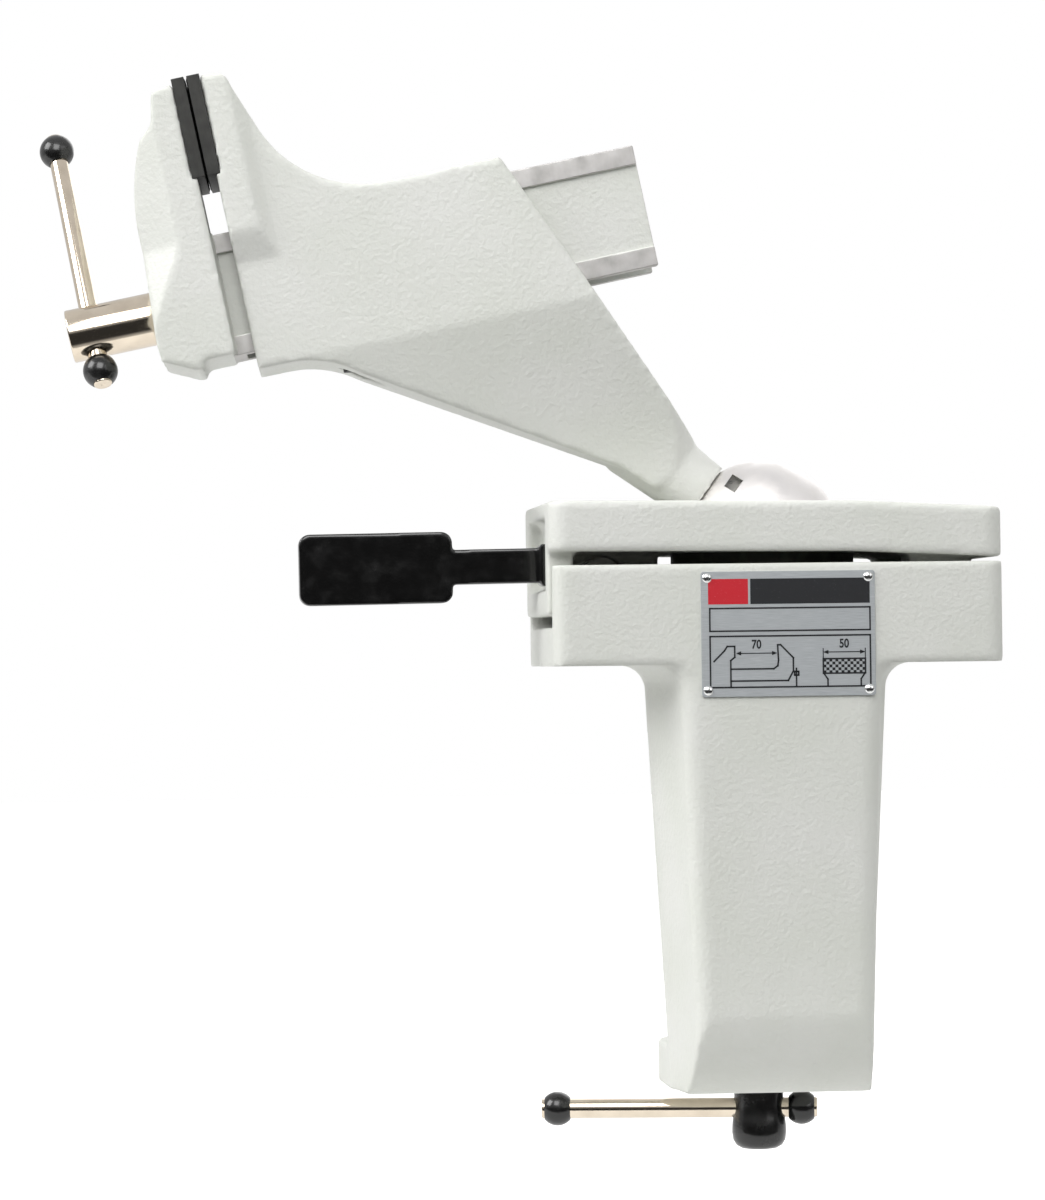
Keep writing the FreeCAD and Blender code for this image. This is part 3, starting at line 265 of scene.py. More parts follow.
COAT = powder_coat()
NICKEL = worked_metal("bright nickel plate", "E6D9C7", "D8CBB9", 0.07, TOMMY, (1, 0.1, 0.1), scuff=0.05)
BALL_STEEL = worked_metal("polished steel ball", "F6F3F2", "EFECEA", 0.36, NECK, (0.1, 0.1, 1), scuff=0.04)
BRIGHT_STEEL = worked_metal("turned bright steel", "C2C1BD", "A9A8A4", 0.24, PLAIN, (0.1, 0.1, 1))
PLATE_STEEL = worked_metal("blanked steel plate", "CFCDC8", "B4B2AD", 0.24, PLAIN, (0.08, 1, 1))
MILLED = worked_metal("milled slide rail", "C8C6C4", "BFBDBB", 0.46, HEAD, (1, 0.05, 0.05), line=0.5 * MM,
                      scuff=0.05)
RIVET_METAL = worked_metal("rolled aluminium rivet", "E9EAEA", "D6D7D7", 0.12, PLAIN, (1, 1, 1),
                           line=0.3 * MM)
BLACKED = black_oxide()
PHENOLIC = plastic("moulded black phenolic", "131313", "242424", 0.2, 1.5 * MM, 0.02 * MM, 0.3)
VINYL = plastic("dipped vinyl", "0B0B0B", "181818", 0.16, 3 * MM, 0.04 * MM, 0.4)
SEAT_PLASTIC = plastic("filled nylon seat ring", "5A5C50", "727468", 0.55, 0.6 * MM, 0.05 * MM)
RUBBER = plastic("moulded rubber bench pad", "242424", "333333", 0.75, 0.8 * MM, 0.08 * MM)
SHEET = brushed_sheet()
BLACK_INK = plate_ink("black screen ink", "222326", "4E5054")
RED_INK = plate_ink("red screen ink", "C4212E", "D2646C")


# Making and finishing meshes


def in_scene(name, data):
    """A new object with this data."""
    made = bpy.data.objects.new(name, data)
    bpy.context.scene.collection.objects.link(made)
    return made


def link(name, mesh, *materials):
    """A new object at the origin with this mesh and these materials."""
    piece = in_scene(name, mesh)
    mesh.materials.clear()
    for material in materials:
        mesh.materials.append(material)
    return piece


def ready(piece, body, slot, *stands_for):
    """Rides a finished piece on its body, and hides the CAD nodes it stands for."""
    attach(piece, body)
    if stands_for:
        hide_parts(*stands_for)
    return piece


def final_mesh(piece):
    """The plain mesh that a piece's modifiers or its curve come to."""
    graph = bpy.context.evaluated_depsgraph_get()
    return bpy.data.meshes.new_from_object(piece.evaluated_get(graph), depsgraph=graph)


def baked(piece):
    """Turns the piece's modifiers into plain mesh."""
    mesh = final_mesh(piece)
    piece.modifiers.clear()
    piece.data = mesh
    return piece


def as_mesh(shape, name):
    """Closes a bmesh into a mesh."""
    mesh = bpy.data.meshes.new(name)
    shape.to_mesh(mesh)
    shape.free()
    return mesh


def to_mesh(shape, name, place=PLAIN):
    """Closes a bmesh into a mesh, in its place and with its faces outwards."""
    bmesh.ops.recalc_face_normals(shape, faces=shape.faces)
    shape.transform(place)
    return as_mesh(shape, name)


def smooth_shaded(mesh, angle):
    """Smooth shading that stops at edges sharper than an angle in degrees."""
    limit = math.radians(angle)
    shape = bmesh.new()
    shape.from_mesh(mesh)
    for face in shape.faces:
        face.smooth = True
    for edge in shape.edges:
        edge.smooth = len(edge.link_faces) == 2 and edge.calc_face_angle(0) < limit
    shape.to_mesh(mesh)
    shape.free()


ROUND_STEPS = 4
TURN_STEPS = 64
SMALL_TURN_STEPS = 32
# Edges sharper than these angles, in degrees, stay sharp in the shading.
TURNED_SHARP, RIVET_SHARP, BROKEN_SHARP, MOULDED_SHARP = 32, 40, 30, 60
BEVEL_STEPS = 2
# Points of a CAD mesh nearer than this, and faces that turn by less than this angle, are one.
WELD, FLAT = 0.0005 * MM, math.radians(0.2)


def with_rounds(corners):
    """A section through corners (radius, height, rounding) in millimetres, with its roundings as curves."""
    points = []
    for number, (radius, height, rounding) in enumerate(corners):
        here = Vector((radius, height))
        if rounding == 0:
            points.append(here * MM)
            continue
        before, after = (Vector(corners[(number + step) % len(corners)][:2]) for step in (-1, 1))
        start = here + (before - here).normalized() * rounding
        end = here + (after - here).normalized() * rounding
        for step in range(ROUND_STEPS + 1):
            share = step / ROUND_STEPS
            points.append(start.lerp(here, share).lerp(here.lerp(end, share), share) * MM)
    return points


def turned_mesh(name, place, corners, ring=False, steps=TURN_STEPS):
    """A shape turned about a frame's z axis. Its section runs from pole to pole, or all round a ring."""
    shape = bmesh.new()
    angles = [2 * math.pi * step / steps for step in range(steps)]
    rows = []
    for radius, height in with_rounds(corners):
        around = angles if radius > 0 else [0]
        spots = [(radius * math.cos(angle), radius * math.sin(angle), height) for angle in around]
        rows.append([shape.verts.new(spot) for spot in spots])
    pairs = list(zip(rows, rows[1:]))
    if ring:
        pairs.append((rows[-1], rows[0]))
    for low, high in pairs:
        for here in range(steps):
            after = (here + 1) % steps
            sides = (low, here), (low, after), (high, after), (high, here)
            shape.faces.new(list(dict.fromkeys(row[spot % len(row)] for row, spot in sides)))
    return to_mesh(shape, name, place)


def ready_turned(piece, body, slot, *stands_for):
    """Shades and finishes a piece that is mostly turned."""
    smooth_shaded(piece.data, TURNED_SHARP)
    return ready(piece, body, slot, *stands_for)


def turned_piece(name, place, corners, body, slot, material, *stands_for, ring=False):
    """A finished piece of one turned shape."""
    piece = link(name, turned_mesh(name, place, corners, ring), material)
    return ready_turned(piece, body, slot, *stands_for)


def box_mesh(name, place, low, high):
    """A closed box between two corners in millimetres, in a frame."""
    low, high = Vector(low) * MM, Vector(high) * MM
    shape = bmesh.new()
    bmesh.ops.create_cube(shape, size=1)
    shape.transform(Matrix.Translation((low + high) / 2) @ Matrix.Diagonal((*(high - low), 1)))
    return to_mesh(shape, name, place)


def carved(piece, operation, *meshes):
    """Cuts closed meshes from a piece, or keeps what it shares with them."""
    tools = [link("tool", mesh) for mesh in meshes]
    for tool in tools:
        step = piece.modifiers.new("carve", "BOOLEAN")
        step.operation = operation
        step.solver = "EXACT"
        step.object = tool
    baked(piece)
    for tool in tools:
        bpy.data.objects.remove(tool)
    return piece


def edges_broken(piece, width):
    """Breaks the piece's sharp edges with small rounds, and keeps its flats evenly shaded up to them."""
    edges = piece.modifiers.new("broken_edges", "BEVEL")
    edges.width = width
    edges.segments = BEVEL_STEPS
    edges.limit_method = "ANGLE"
    edges.angle_limit = math.radians(BROKEN_SHARP)
    baked(piece)
    smooth_shaded(piece.data, BROKEN_SHARP)
    even = piece.modifiers.new("even_flats", "WEIGHTED_NORMAL")
    even.keep_sharp = True
    even.weight = 100
    return baked(piece)


def solid_of(node):
    """A CAD node's solid, with its loose triangles joined and its flat faces whole."""
    shape = bmesh.new()
    shape.from_mesh(NODES[node].data)
    bmesh.ops.remove_doubles(shape, verts=shape.verts, dist=WELD)
    bmesh.ops.dissolve_limit(shape, angle_limit=FLAT, verts=shape.verts, edges=shape.edges)
    return as_mesh(shape, node)


def crisp(name, node, body, slot, material, bevel=0.2 * MM):
    """A machined or moulded piece: the node's own solid with its edges broken."""
    return ready(edges_broken(link(name, solid_of(node), material), bevel), body, slot, node)


def two_finishes(piece, first, second, is_second):
    """Gives a piece its first finish, and its second one on the faces that pass a test."""
    piece.data.materials.clear()
    for material in (first, second):
        piece.data.materials.append(material)
    for polygon in piece.data.polygons:
        polygon.material_index = int(is_second(polygon))


def moulded(piece, voxel, rounds):
    """Gives a solid the rounded edges and corners of its mould or its dip."""
    skin = piece.modifiers.new("skin", "REMESH")
    skin.mode = "VOXEL"
    skin.voxel_size = voxel
    soft = piece.modifiers.new("mould_radius", "SMOOTH")
    soft.factor = 0.5
    soft.iterations = rounds
    baked(piece)
    smooth_shaded(piece.data, MOULDED_SHARP)
    return piece


# Castings

CASTING_VOXEL, CASTING_ROUNDS = 0.9 * MM, 3


def cast_frame_lid_and_fixed_jaw():
    """The castings that are coated all over."""
    for name, node, body in (("lower_frame_casting", "lower_frame", "frame"),
                             ("lid_casting", "clamp_lid", "lid"),
                             ("fixed_jaw_casting", "fixed_jaw", "head")):
        casting = moulded(link(name, solid_of(node), COAT), CASTING_VOXEL, CASTING_ROUNDS)
        ready(casting, body, "powder_coat", node)


# The slide bar's sides in the head's frame, and the face of the jaw that it comes out of
BAR_HALF, BAR_LOW, BAR_HIGH, BAR_END, JAW_FACE = 15.0, 78.9, 112.4, -12.9, -130.8
# Beyond the whole part, how far jaw and bar reach into each other, and the room left round the bar
BEYOND, LAP, ROOM = 300.0, 1.0, 1.0
# A face looks along an axis if its normal's share is over this, and lies on a side within this distance.
FACING, NEAR = 0.9, 0.1
RAIL_EDGE = 0.35 * MM


def cast_moving_jaw():
    """The jaw has its mould's rounded edges. Its bar has crisp rails, milled bare, round a coated web."""
    jaw = link("moving_jaw_casting", solid_of("moving_jaw"), COAT)
    carved(jaw, "INTERSECT",
           box_mesh("jaw_side", HEAD, (-BEYOND, -BEYOND, -BEYOND), (JAW_FACE + LAP, BEYOND, BEYOND)))
    ready(moulded(jaw, CASTING_VOXEL, CASTING_ROUNDS), "moving_jaw", "powder_coat", "moving_jaw")
    bar = link("slide_bar", solid_of("moving_jaw"), COAT, MILLED)
    carved(bar, "INTERSECT", box_mesh("bar_side", HEAD, (JAW_FACE - LAP, -BAR_HALF - ROOM, BAR_LOW - ROOM),
                                      (BEYOND, BAR_HALF + ROOM, BAR_HIGH + ROOM)))
    to_head = HEAD.inverted()

    def is_milled(polygon):
        spot = to_head @ polygon.center / MM
        way = to_head.to_3x3() @ polygon.normal
        on_side = abs(way.y) > FACING and abs(spot.y) > BAR_HALF - NEAR
        on_edge = abs(way.z) > FACING and not BAR_LOW + NEAR < spot.z < BAR_HIGH - NEAR
        return on_side or on_edge or (way.x > FACING and spot.x > BAR_END - NEAR)

    two_finishes(bar, COAT, MILLED, is_milled)
    ready(edges_broken(bar, RAIL_EDGE), "moving_jaw", "powder_coat", "moving_jaw")


# Jaw plates: hardened plates with a diamond knurl, held by socket screws

PLATE_FACE, PLATE_BACK, JAW_PLANE = 0.05, 3.9, -128.3
PLATE_HALF, PLATE_LOW, PLATE_HIGH = 25.0, 127.5, 155.1
PLATE_EDGE = 0.25 * MM
TOOTH_DEEP, TOOTH_PITCH, TOOTH_TIP = 0.3, 1.8, 0.12
PLATE_SCREW_Y, PLATE_SCREW_Z, PLATE_SCREW_SINK = 15.0, 141.5, 0.5
# A screw's hole: its head's part, the cone below it and the shank's part
PLATE_HOLE, HOLE_START, HOLE_RIM, SHANK_HOLE, CONE_END, HOLE_END = 4.1, -2.0, 0.1, 2.1, 2.1, 8.0


def geometry_tree(name, sizes):
    """A geometry tree with named inputs, and its input node's sockets."""
    tree = bpy.data.node_groups.new(name, "GeometryNodeTree")
    tree.interface.new_socket("Geometry", in_out="OUTPUT", socket_type="NodeSocketGeometry")
    for size, kind in sizes.items():
        tree.interface.new_socket(size, in_out="INPUT", socket_type="NodeSocket" + kind)
    return tree, add(tree, "NodeGroupInput").outputs


def give_out(tree, instances, material):
    """Ends a geometry tree: its instances as plain mesh in one material."""
    solid = add(tree, "GeometryNodeRealizeInstances", {"Geometry": instances})
    finished = add(tree, "GeometryNodeSetMaterial", {"Geometry": solid, "Material": material})
    add(tree, "NodeGroupOutput", {0: finished})
    return tree


def grown(name, tree, place, **sizes):
    """The mesh that a geometry tree makes with these sizes, in its place."""
    piece = link(name, bpy.data.meshes.new(name))
    modifier = piece.modifiers.new("grown", "NODES")
    modifier.node_group = tree
    for socket in tree.interface.items_tree:
        if socket.in_out == "INPUT":
            modifier[socket.identifier] = sizes[socket.name]
    mesh = baked(piece).data
    bpy.data.objects.remove(piece)
    mesh.transform(place)
    return mesh


def knurl_tree():
    """Four-sided teeth over a plate's face, at the corners and middles of a square grid, but not round the two
    screw heads."""
    lengths = dict.fromkeys(("wide", "tall", "pitch", "deep", "screw_side", "screw_rise", "hole"), "Float")
    tree, given = geometry_tree("diamond_knurl", {**lengths, "across": "Int", "up": "Int"})
    rows = add(tree, "GeometryNodeMeshGrid", {"Size X": given["wide"], "Size Y": given["tall"],
                                              "Vertices X": given["across"], "Vertices Y": given["up"]})
    middles = add(tree, "GeometryNodeMeshToPoints", {"Mesh": rows.outputs["Mesh"]}, mode="FACES")
    corners = add(tree, "GeometryNodeMeshToPoints", {"Mesh": rows.outputs["Mesh"]}, mode="VERTICES")
    points = add(tree, "GeometryNodeJoinGeometry")
    for part in (middles, corners):
        tree.links.new(part.outputs[0], points.inputs[0])
    place = add(tree, "ShaderNodeSeparateXYZ", {0: add(tree, "GeometryNodeInputPosition")})
    side = maths(tree, "ABSOLUTE", place.outputs["X"])
    along = maths(tree, "SUBTRACT", side, given["screw_side"])
    rise = maths(tree, "SUBTRACT", place.outputs["Y"], given["screw_rise"])
    apart = add(tree, "ShaderNodeCombineXYZ", {"X": along, "Y": rise})
    distance = add(tree, "ShaderNodeVectorMath", {0: apart}, operation="LENGTH").outputs["Value"]
    near_screw = add(tree, "FunctionNodeCompare", {"A": distance, "B": given["hole"]}, operation="LESS_THAN")
    kept = add(tree, "GeometryNodeDeleteGeometry", {"Geometry": points, "Selection": near_screw})
    half = maths(tree, "MULTIPLY", given["pitch"], 0.5)
    tooth = add(tree, "GeometryNodeMeshCone", {"Vertices": 4, "Radius Top": TOOTH_TIP * MM,
                                               "Radius Bottom": half, "Depth": given["deep"]})
    teeth = add(tree, "GeometryNodeInstanceOnPoints", {"Points": kept, "Instance": tooth.outputs["Mesh"]})
    return give_out(tree, teeth, BLACKED)


def merged(name, meshes, *materials):
    """One piece from several meshes."""
    shape = bmesh.new()
    for mesh in meshes:
        shape.from_mesh(mesh)
    return link(name, as_mesh(shape, name), *materials)


def make_jaw_plate(tree, label, body, way):
    """A jaw plate, with way 1 for the fixed jaw and -1 for the moving one."""
    face, back = JAW_PLANE + way * (PLATE_FACE + TOOTH_DEEP), JAW_PLANE + way * PLATE_BACK
    blank = link(label + "_blank", box_mesh("blank", HEAD, (min(face, back), -PLATE_HALF, PLATE_LOW),
                                            (max(face, back), PLATE_HALF, PLATE_HIGH)))
    sunk = PLATE_FACE + PLATE_SCREW_SINK
    section = [(0, HOLE_START, 0), (PLATE_HOLE, HOLE_START, 0), (PLATE_HOLE, HOLE_RIM, 0),
               (SHANK_HOLE, CONE_END, 0), (SHANK_HOLE, HOLE_END, 0), (0, HOLE_END, 0)]
    holes = []
    for side in (-PLATE_SCREW_Y, PLATE_SCREW_Y):
        spot = along_z(in_head(JAW_PLANE + way * sunk, side, PLATE_SCREW_Z), SLIDE * way, TILT)
        holes.append(turned_mesh("hole", spot, section, steps=SMALL_TURN_STEPS))
    edges_broken(carved(blank, "DIFFERENCE", *holes), PLATE_EDGE)
    middle = (PLATE_LOW + PLATE_HIGH) / 2
    across = int((2 * PLATE_HALF - TOOTH_PITCH) / TOOTH_PITCH)
    up = int((PLATE_HIGH - PLATE_LOW - TOOTH_PITCH) / TOOTH_PITCH)
    knurl = grown("knurl", tree, along_z(in_head(face, 0, middle), -SLIDE * way, TILT),
                  wide=across * TOOTH_PITCH * MM, tall=up * TOOTH_PITCH * MM, pitch=TOOTH_PITCH * MM,
                  deep=TOOTH_DEEP * MM, across=across + 1, up=up + 1, screw_side=PLATE_SCREW_Y * MM,
                  screw_rise=-way * (PLATE_SCREW_Z - middle) * MM, hole=(PLATE_HOLE + TOOTH_PITCH / 2) * MM)
    plate = merged(label + "_knurled", [blank.data, knurl], BLACKED)
    bpy.data.objects.remove(blank)
    ready(plate, body, "black_steel", label)
    crisp(label + "_socket_screws", label + "_screws", body, "black_steel", BLACKED, 0.1 * MM)


# Screws with their threads

THREAD_SIDES = 40
THREAD_ROWS_PER_TURN = 8
# Where the crest ends and the root starts, in turns from the crest's middle
CREST_END, ROOT_START = 0.1, 0.42


def thread_tree():
    """A right-handed thread: a fine cylinder whose skin sinks between the ridges that wind round it."""
    tree, given = geometry_tree("screw_thread", {"radius": "Float", "deep": "Float", "pitch": "Float",
                                                 "length": "Float", "rows": "Int"})
    blank = add(tree, "GeometryNodeMeshCylinder", {"Vertices": THREAD_SIDES, "Side Segments": given["rows"],
                                                   "Radius": given["radius"], "Depth": given["length"]})
    spot = add(tree, "GeometryNodeInputPosition")
    place = add(tree, "ShaderNodeSeparateXYZ", {0: spot})
    angle = maths(tree, "ARCTAN2", place.outputs["Y"], place.outputs["X"])
    turns = maths(tree, "DIVIDE", angle, 2 * math.pi)
    rise = maths(tree, "DIVIDE", place.outputs["Z"], given["pitch"])
    phase = maths(tree, "SUBTRACT", rise, turns)
    wave = maths(tree, "PINGPONG", phase, 0.5)
    sunk = maths(tree, "DIVIDE", given["deep"], given["radius"])
    root = maths(tree, "SUBTRACT", 1.0, sunk)
    share = ranged(tree, wave, CREST_END, ROOT_START, 1.0, root)
    flat = add(tree, "ShaderNodeCombineXYZ", {"X": share, "Y": share, "Z": 1.0})
    moved = add(tree, "ShaderNodeVectorMath", {0: spot, 1: flat}, operation="MULTIPLY")
    wound = add(tree, "GeometryNodeSetPosition", {"Geometry": blank.outputs["Mesh"], "Position": moved})
    return give_out(tree, wound, BRIGHT_STEEL)


def thread_mesh(tree, place, start, end, radius, pitch, deep):
    """A thread from one height to another in a frame."""
    length = end - start
    middle = Matrix.Translation((0, 0, (start + end) / 2 * MM))
    return grown("thread", tree, place @ middle, radius=radius * MM, deep=deep * MM, pitch=pitch * MM,
                 length=length * MM, rows=round(length / pitch * THREAD_ROWS_PER_TURN))


SCREW_RADIUS, LEAD_PITCH, CLAMP_PITCH = 6.0, 3.0, 2.0
HEAD_RADIUS, HEAD_TIP, HEAD_FOOT = 7.3, 6.5, 17.7
TOMMY_RADIUS, CROSS_RADIUS, HOLE_GAP = 2.55, 2.75, 0.08
# A handle's hole: half its length, half its straight part, and its flare
HOLE_REACH, HOLE_STRAIGHT, HOLE_FLARE = 12.0, 6.8, 0.5
# The lead screw's clip, the shank behind it, and the thread, whose core reaches into both plain ends
SCREW_CLIP, CLIP_THICK, CLIP_GROOVE, CLIP_RADIUS, CLIP_GAP = 40.6, 1.2, 5.0, 8.4, 0.05
SHANK_END, THREAD_START, CORE_START = SCREW_CLIP + 4, SCREW_CLIP + 5, SCREW_CLIP + 7
SCREW_END = 150.1
THREAD_END, CORE_END = SCREW_END - 2, SCREW_END - 3
START_CORE, END_CORE, LEAD_DEEP = 4.8, 4.7, 1.3
WASHER_BORE, WASHER_RADIUS, WASHER_FRONT, WASHER_BACK = 6.15, 8.6, 17.76, 19.15


def make_lead_screw(tree):
    """The screw's frame starts where the tommy bar crosses it, and its z axis runs to the screw's end."""
    spindle = along_z(SCREW_MIDDLE, SLIDE, TILT)
    clip_end = SCREW_CLIP + CLIP_THICK
    head = link("lead_screw_head", turned_mesh("head", spindle, [
        (0, -HEAD_TIP, 0), (HEAD_RADIUS, -HEAD_TIP, 0.5), (HEAD_RADIUS, HEAD_FOOT, 0.3),
        (SCREW_RADIUS, HEAD_FOOT, 0), (SCREW_RADIUS, SCREW_CLIP, 0), (CLIP_GROOVE, SCREW_CLIP, 0),
        (CLIP_GROOVE, clip_end, 0), (SCREW_RADIUS, clip_end, 0), (SCREW_RADIUS, SHANK_END, 0.4),
        (START_CORE, THREAD_START, 0), (START_CORE, CORE_START, 0), (0, CORE_START, 0)]), NICKEL)
    hole = TOMMY_RADIUS + HOLE_GAP
    carved(head, "DIFFERENCE", turned_mesh("hole", TOMMY, [
        (0, -HOLE_REACH, 0), (hole + HOLE_FLARE, -HOLE_REACH, 0), (hole, -HOLE_STRAIGHT, 0),
        (hole, HOLE_STRAIGHT, 0), (hole + HOLE_FLARE, HOLE_REACH, 0), (0, HOLE_REACH, 0)]))
    ready_turned(head, "lead_screw", "nickel_plate", "lead_screw")
    end = turned_mesh("end", spindle, [(0, CORE_END, 0), (END_CORE, CORE_END, 0), (END_CORE, SCREW_END, 0.8),
                                       (0, SCREW_END, 0)])
    thread = thread_mesh(tree, spindle, THREAD_START, THREAD_END, SCREW_RADIUS, LEAD_PITCH, LEAD_DEEP)
    shank = merged("lead_screw_thread", [thread, end], BRIGHT_STEEL)
    ready_turned(shank, "lead_screw", "nickel_plate", "lead_screw")
    near, far = SCREW_CLIP + CLIP_GAP, clip_end - CLIP_GAP
    clip = [(CLIP_GROOVE, near, 0), (CLIP_RADIUS, near, 0.3), (CLIP_RADIUS, far, 0.3), (CLIP_GROOVE, far, 0)]
    turned_piece("lead_screw_clip", spindle, clip, "lead_screw", "bare_steel", BLACKED, "retaining_clip",
                 ring=True)
    washer = [(WASHER_BORE, WASHER_FRONT, 0.2), (WASHER_RADIUS, WASHER_FRONT, 0.3),
              (WASHER_RADIUS, WASHER_BACK, 0.3), (WASHER_BORE, WASHER_BACK, 0.2)]
    turned_piece("thrust_washer_ring", spindle, washer, "moving_jaw", "bare_steel", BRIGHT_STEEL,
                 "thrust_washer", ring=True)


# The clamp screw and its pad, with heights over the frame's origin. The screw's foot is in its cap.
FOOT_LOW = -131.9
CLAMP_LOW, CLAMP_HIGH, CLAMP_CORE, CLAMP_DEEP, RUN_OUT = -115.0, -39.0, 4.9, 1.05, 0.5
TIP_LOW, TIP_HIGH, TIP_RADIUS = -37.0, -31.0, 5.0
GROOVE_LOW, GROOVE_HIGH, GROOVE_RADIUS = -34.3, -32.7, 4.2
PAD_HUB_LOW, PAD_LOW, PAD_SIDE_HIGH, PAD_HIGH = -36.0, -32.0, -28.0, -27.0
PAD_BORE, PAD_HUB, PAD_TOP, PAD_RADIUS = 5.1, 9.0, 13.2, 14.0
FACE_HIGH, FACE_RADIUS = -25.0, 13.0


def make_clamp_screw(tree):
    """The clamp screw with its tip's groove, its swivelling pad and the pad's soft face."""
    core = turned_mesh("core", CROSS, [
        (0, FOOT_LOW, 0), (SCREW_RADIUS, FOOT_LOW, 0), (SCREW_RADIUS, CLAMP_LOW - RUN_OUT, 0.4),
        (CLAMP_CORE, CLAMP_LOW + RUN_OUT, 0), (CLAMP_CORE, CLAMP_HIGH - RUN_OUT, 0),
        (SCREW_RADIUS, CLAMP_HIGH + RUN_OUT, 0.3), (SCREW_RADIUS, TIP_LOW, 0), (TIP_RADIUS, TIP_LOW, 0),
        (TIP_RADIUS, GROOVE_LOW, 0), (GROOVE_RADIUS, GROOVE_LOW, 0), (GROOVE_RADIUS, GROOVE_HIGH, 0),
        (TIP_RADIUS, GROOVE_HIGH, 0), (TIP_RADIUS, TIP_HIGH, 0.5), (0, TIP_HIGH, 0)])
    thread = thread_mesh(tree, CROSS, CLAMP_LOW, CLAMP_HIGH, SCREW_RADIUS, CLAMP_PITCH, CLAMP_DEEP)
    piece = merged("clamp_screw_thread", [core, thread], BRIGHT_STEEL)
    ready_turned(piece, "clamp_screw", "bare_steel", "clamp_screw")
    disc = [(0, PAD_HIGH, 0), (PAD_TOP, PAD_HIGH, 0), (PAD_RADIUS, PAD_SIDE_HIGH, 0.4),
            (PAD_RADIUS, PAD_LOW, 0.8), (PAD_HUB, PAD_LOW, 0.8), (PAD_HUB, PAD_HUB_LOW, 0.7),
            (PAD_BORE, PAD_HUB_LOW, 0.3), (PAD_BORE, TIP_HIGH, 0), (0, TIP_HIGH, 0)]
    turned_piece("clamp_pad_disc", CROSS, disc, "clamp_pad", "bare_steel", BRIGHT_STEEL, "clamp_pad")
    face = [(0, FACE_HIGH, 0), (FACE_RADIUS, FACE_HIGH, 0.7), (FACE_RADIUS, PAD_HIGH, 0), (0, PAD_HIGH, 0)]
    turned_piece("bench_pad_face", CROSS, face, "clamp_pad", "pad_rubber", RUBBER, "pad_face")


CROSS_Z = -124.4
CROSS_BAR = along_z((0, 0, CROSS_Z * MM), CROSS_AXIS, UP)
# The cap's rim, its waist and the knob below it, each with its height
CAP_TOP, CAP_RIM, WAIST_LOW, WAIST = -117.6, 6.9, -125.1, 6.95
KNOB_HIGH, CAP_BOTTOM, CAP_RADIUS = -129.1, -135.9, 7.6


def make_cap():
    """The black head on the clamp screw's foot, which the cross bar runs through."""
    cap = link("clamp_screw_cap_moulding", turned_mesh("cap", CROSS, [
        (0, FOOT_LOW, 0), (SCREW_RADIUS, FOOT_LOW, 0), (SCREW_RADIUS, CAP_TOP, 0), (CAP_RIM, CAP_TOP, 0.3),
        (WAIST, WAIST_LOW, 1.8), (CAP_RADIUS, KNOB_HIGH, 1.8), (CAP_RADIUS, CAP_BOTTOM, 4.6),
        (0, CAP_BOTTOM, 0)]), PHENOLIC)
    hole = CROSS_RADIUS + HOLE_GAP
    carved(cap, "DIFFERENCE", turned_mesh("hole", CROSS_BAR, [(0, -HOLE_REACH, 0), (hole, -HOLE_REACH, 0),
                                                              (hole, HOLE_REACH, 0), (0, HOLE_REACH, 0)]))
    ready_turned(cap, "clamp_screw", "black_plastic", "clamp_screw_cap")


# A ball end's steps, its flat's width round the bar, the bar's reach past its middle, and its bore's gap
KNOB_STEPS, KNOB_FLAT, KNOB_BAR_REACH, KNOB_GAP = 24, 0.35, 4.4, 0.01
# A bar's rounded edge, and the mark in its end
BAR_ROUND, MARK_RADIUS, MARK_DEEP = 0.45, 0.7, 0.5
# Each handle's body, knobs, frame, bar radius, knob radius and knob middles
HANDLES = (("tommy_bar", "tommy_knobs", TOMMY, TOMMY_RADIUS, 4.8, (-12.4, 58.9)),
           ("cross_bar", "cross_bar_knobs", CROSS_BAR, CROSS_RADIUS, 4.75, (-56.55, 11.95)))


def knob_section(middle, radius, bore):
    """A ball end's section: the ball, a little flat where the bar comes out, and the bore."""
    flat = math.asin((bore + KNOB_FLAT) / radius)
    angles = [flat + (math.pi - 2 * flat) * step / KNOB_STEPS for step in range(KNOB_STEPS + 1)]
    rise = radius * math.cos(flat)
    ball = [(radius * math.sin(angle), middle + radius * math.cos(angle), 0) for angle in angles]
    return [(bore, middle - rise, 0), (bore, middle + rise, 0)] + ball


def bar_section(start, end, radius):
    """A bar with rounded edges and a centre mark in each end."""
    return [(0, start + MARK_DEEP, 0), (MARK_RADIUS, start, 0), (radius, start, BAR_ROUND),
            (radius, end, BAR_ROUND), (MARK_RADIUS, end, 0), (0, end - MARK_DEEP, 0)]


def make_handles():
    """The two bars that turn the screws, with a ball on each end."""
    for body, knob_node, place, bar_radius, knob_radius, middles in HANDLES:
        first, last = middles
        bar = bar_section(first - KNOB_BAR_REACH, last + KNOB_BAR_REACH, bar_radius)
        turned_piece(body + "_rod", place, bar, body, "nickel_plate", NICKEL, body)
        sections = [knob_section(middle, knob_radius, bar_radius + KNOB_GAP) for middle in middles]
        ends = [turned_mesh("knob", place, section, ring=True) for section in sections]
        piece = merged(knob_node + "_moulding", ends, PHENOLIC)
        ready_turned(piece, body, "black_plastic", knob_node)


# Ball, its stem and its seat

BALL_RADIUS, BALL_STEPS = 21.5, 40
STEM_RADIUS, STEM_LOW, STEM_HIGH, STEM_ROUND = 5.5, -10.0, 48.0, 0.6
STEM_GAP, STEM_FLOOR = 0.05, -12.0
# The notches, in the ball's frame turned a quarter: start and end, near and far, low and high
NOTCH_ENDS, NOTCH_SIDES, NOTCH_HEIGHTS = (4.4, 8.6), ((-23, -8), (8, 23)), (14.2, 17.4)
# A face is a notch's if it lies this deep under the ball's skin, and this far from the stem's bore.
NOTCH_DEEP, NOTCH_CLEAR = 0.4, 1.0


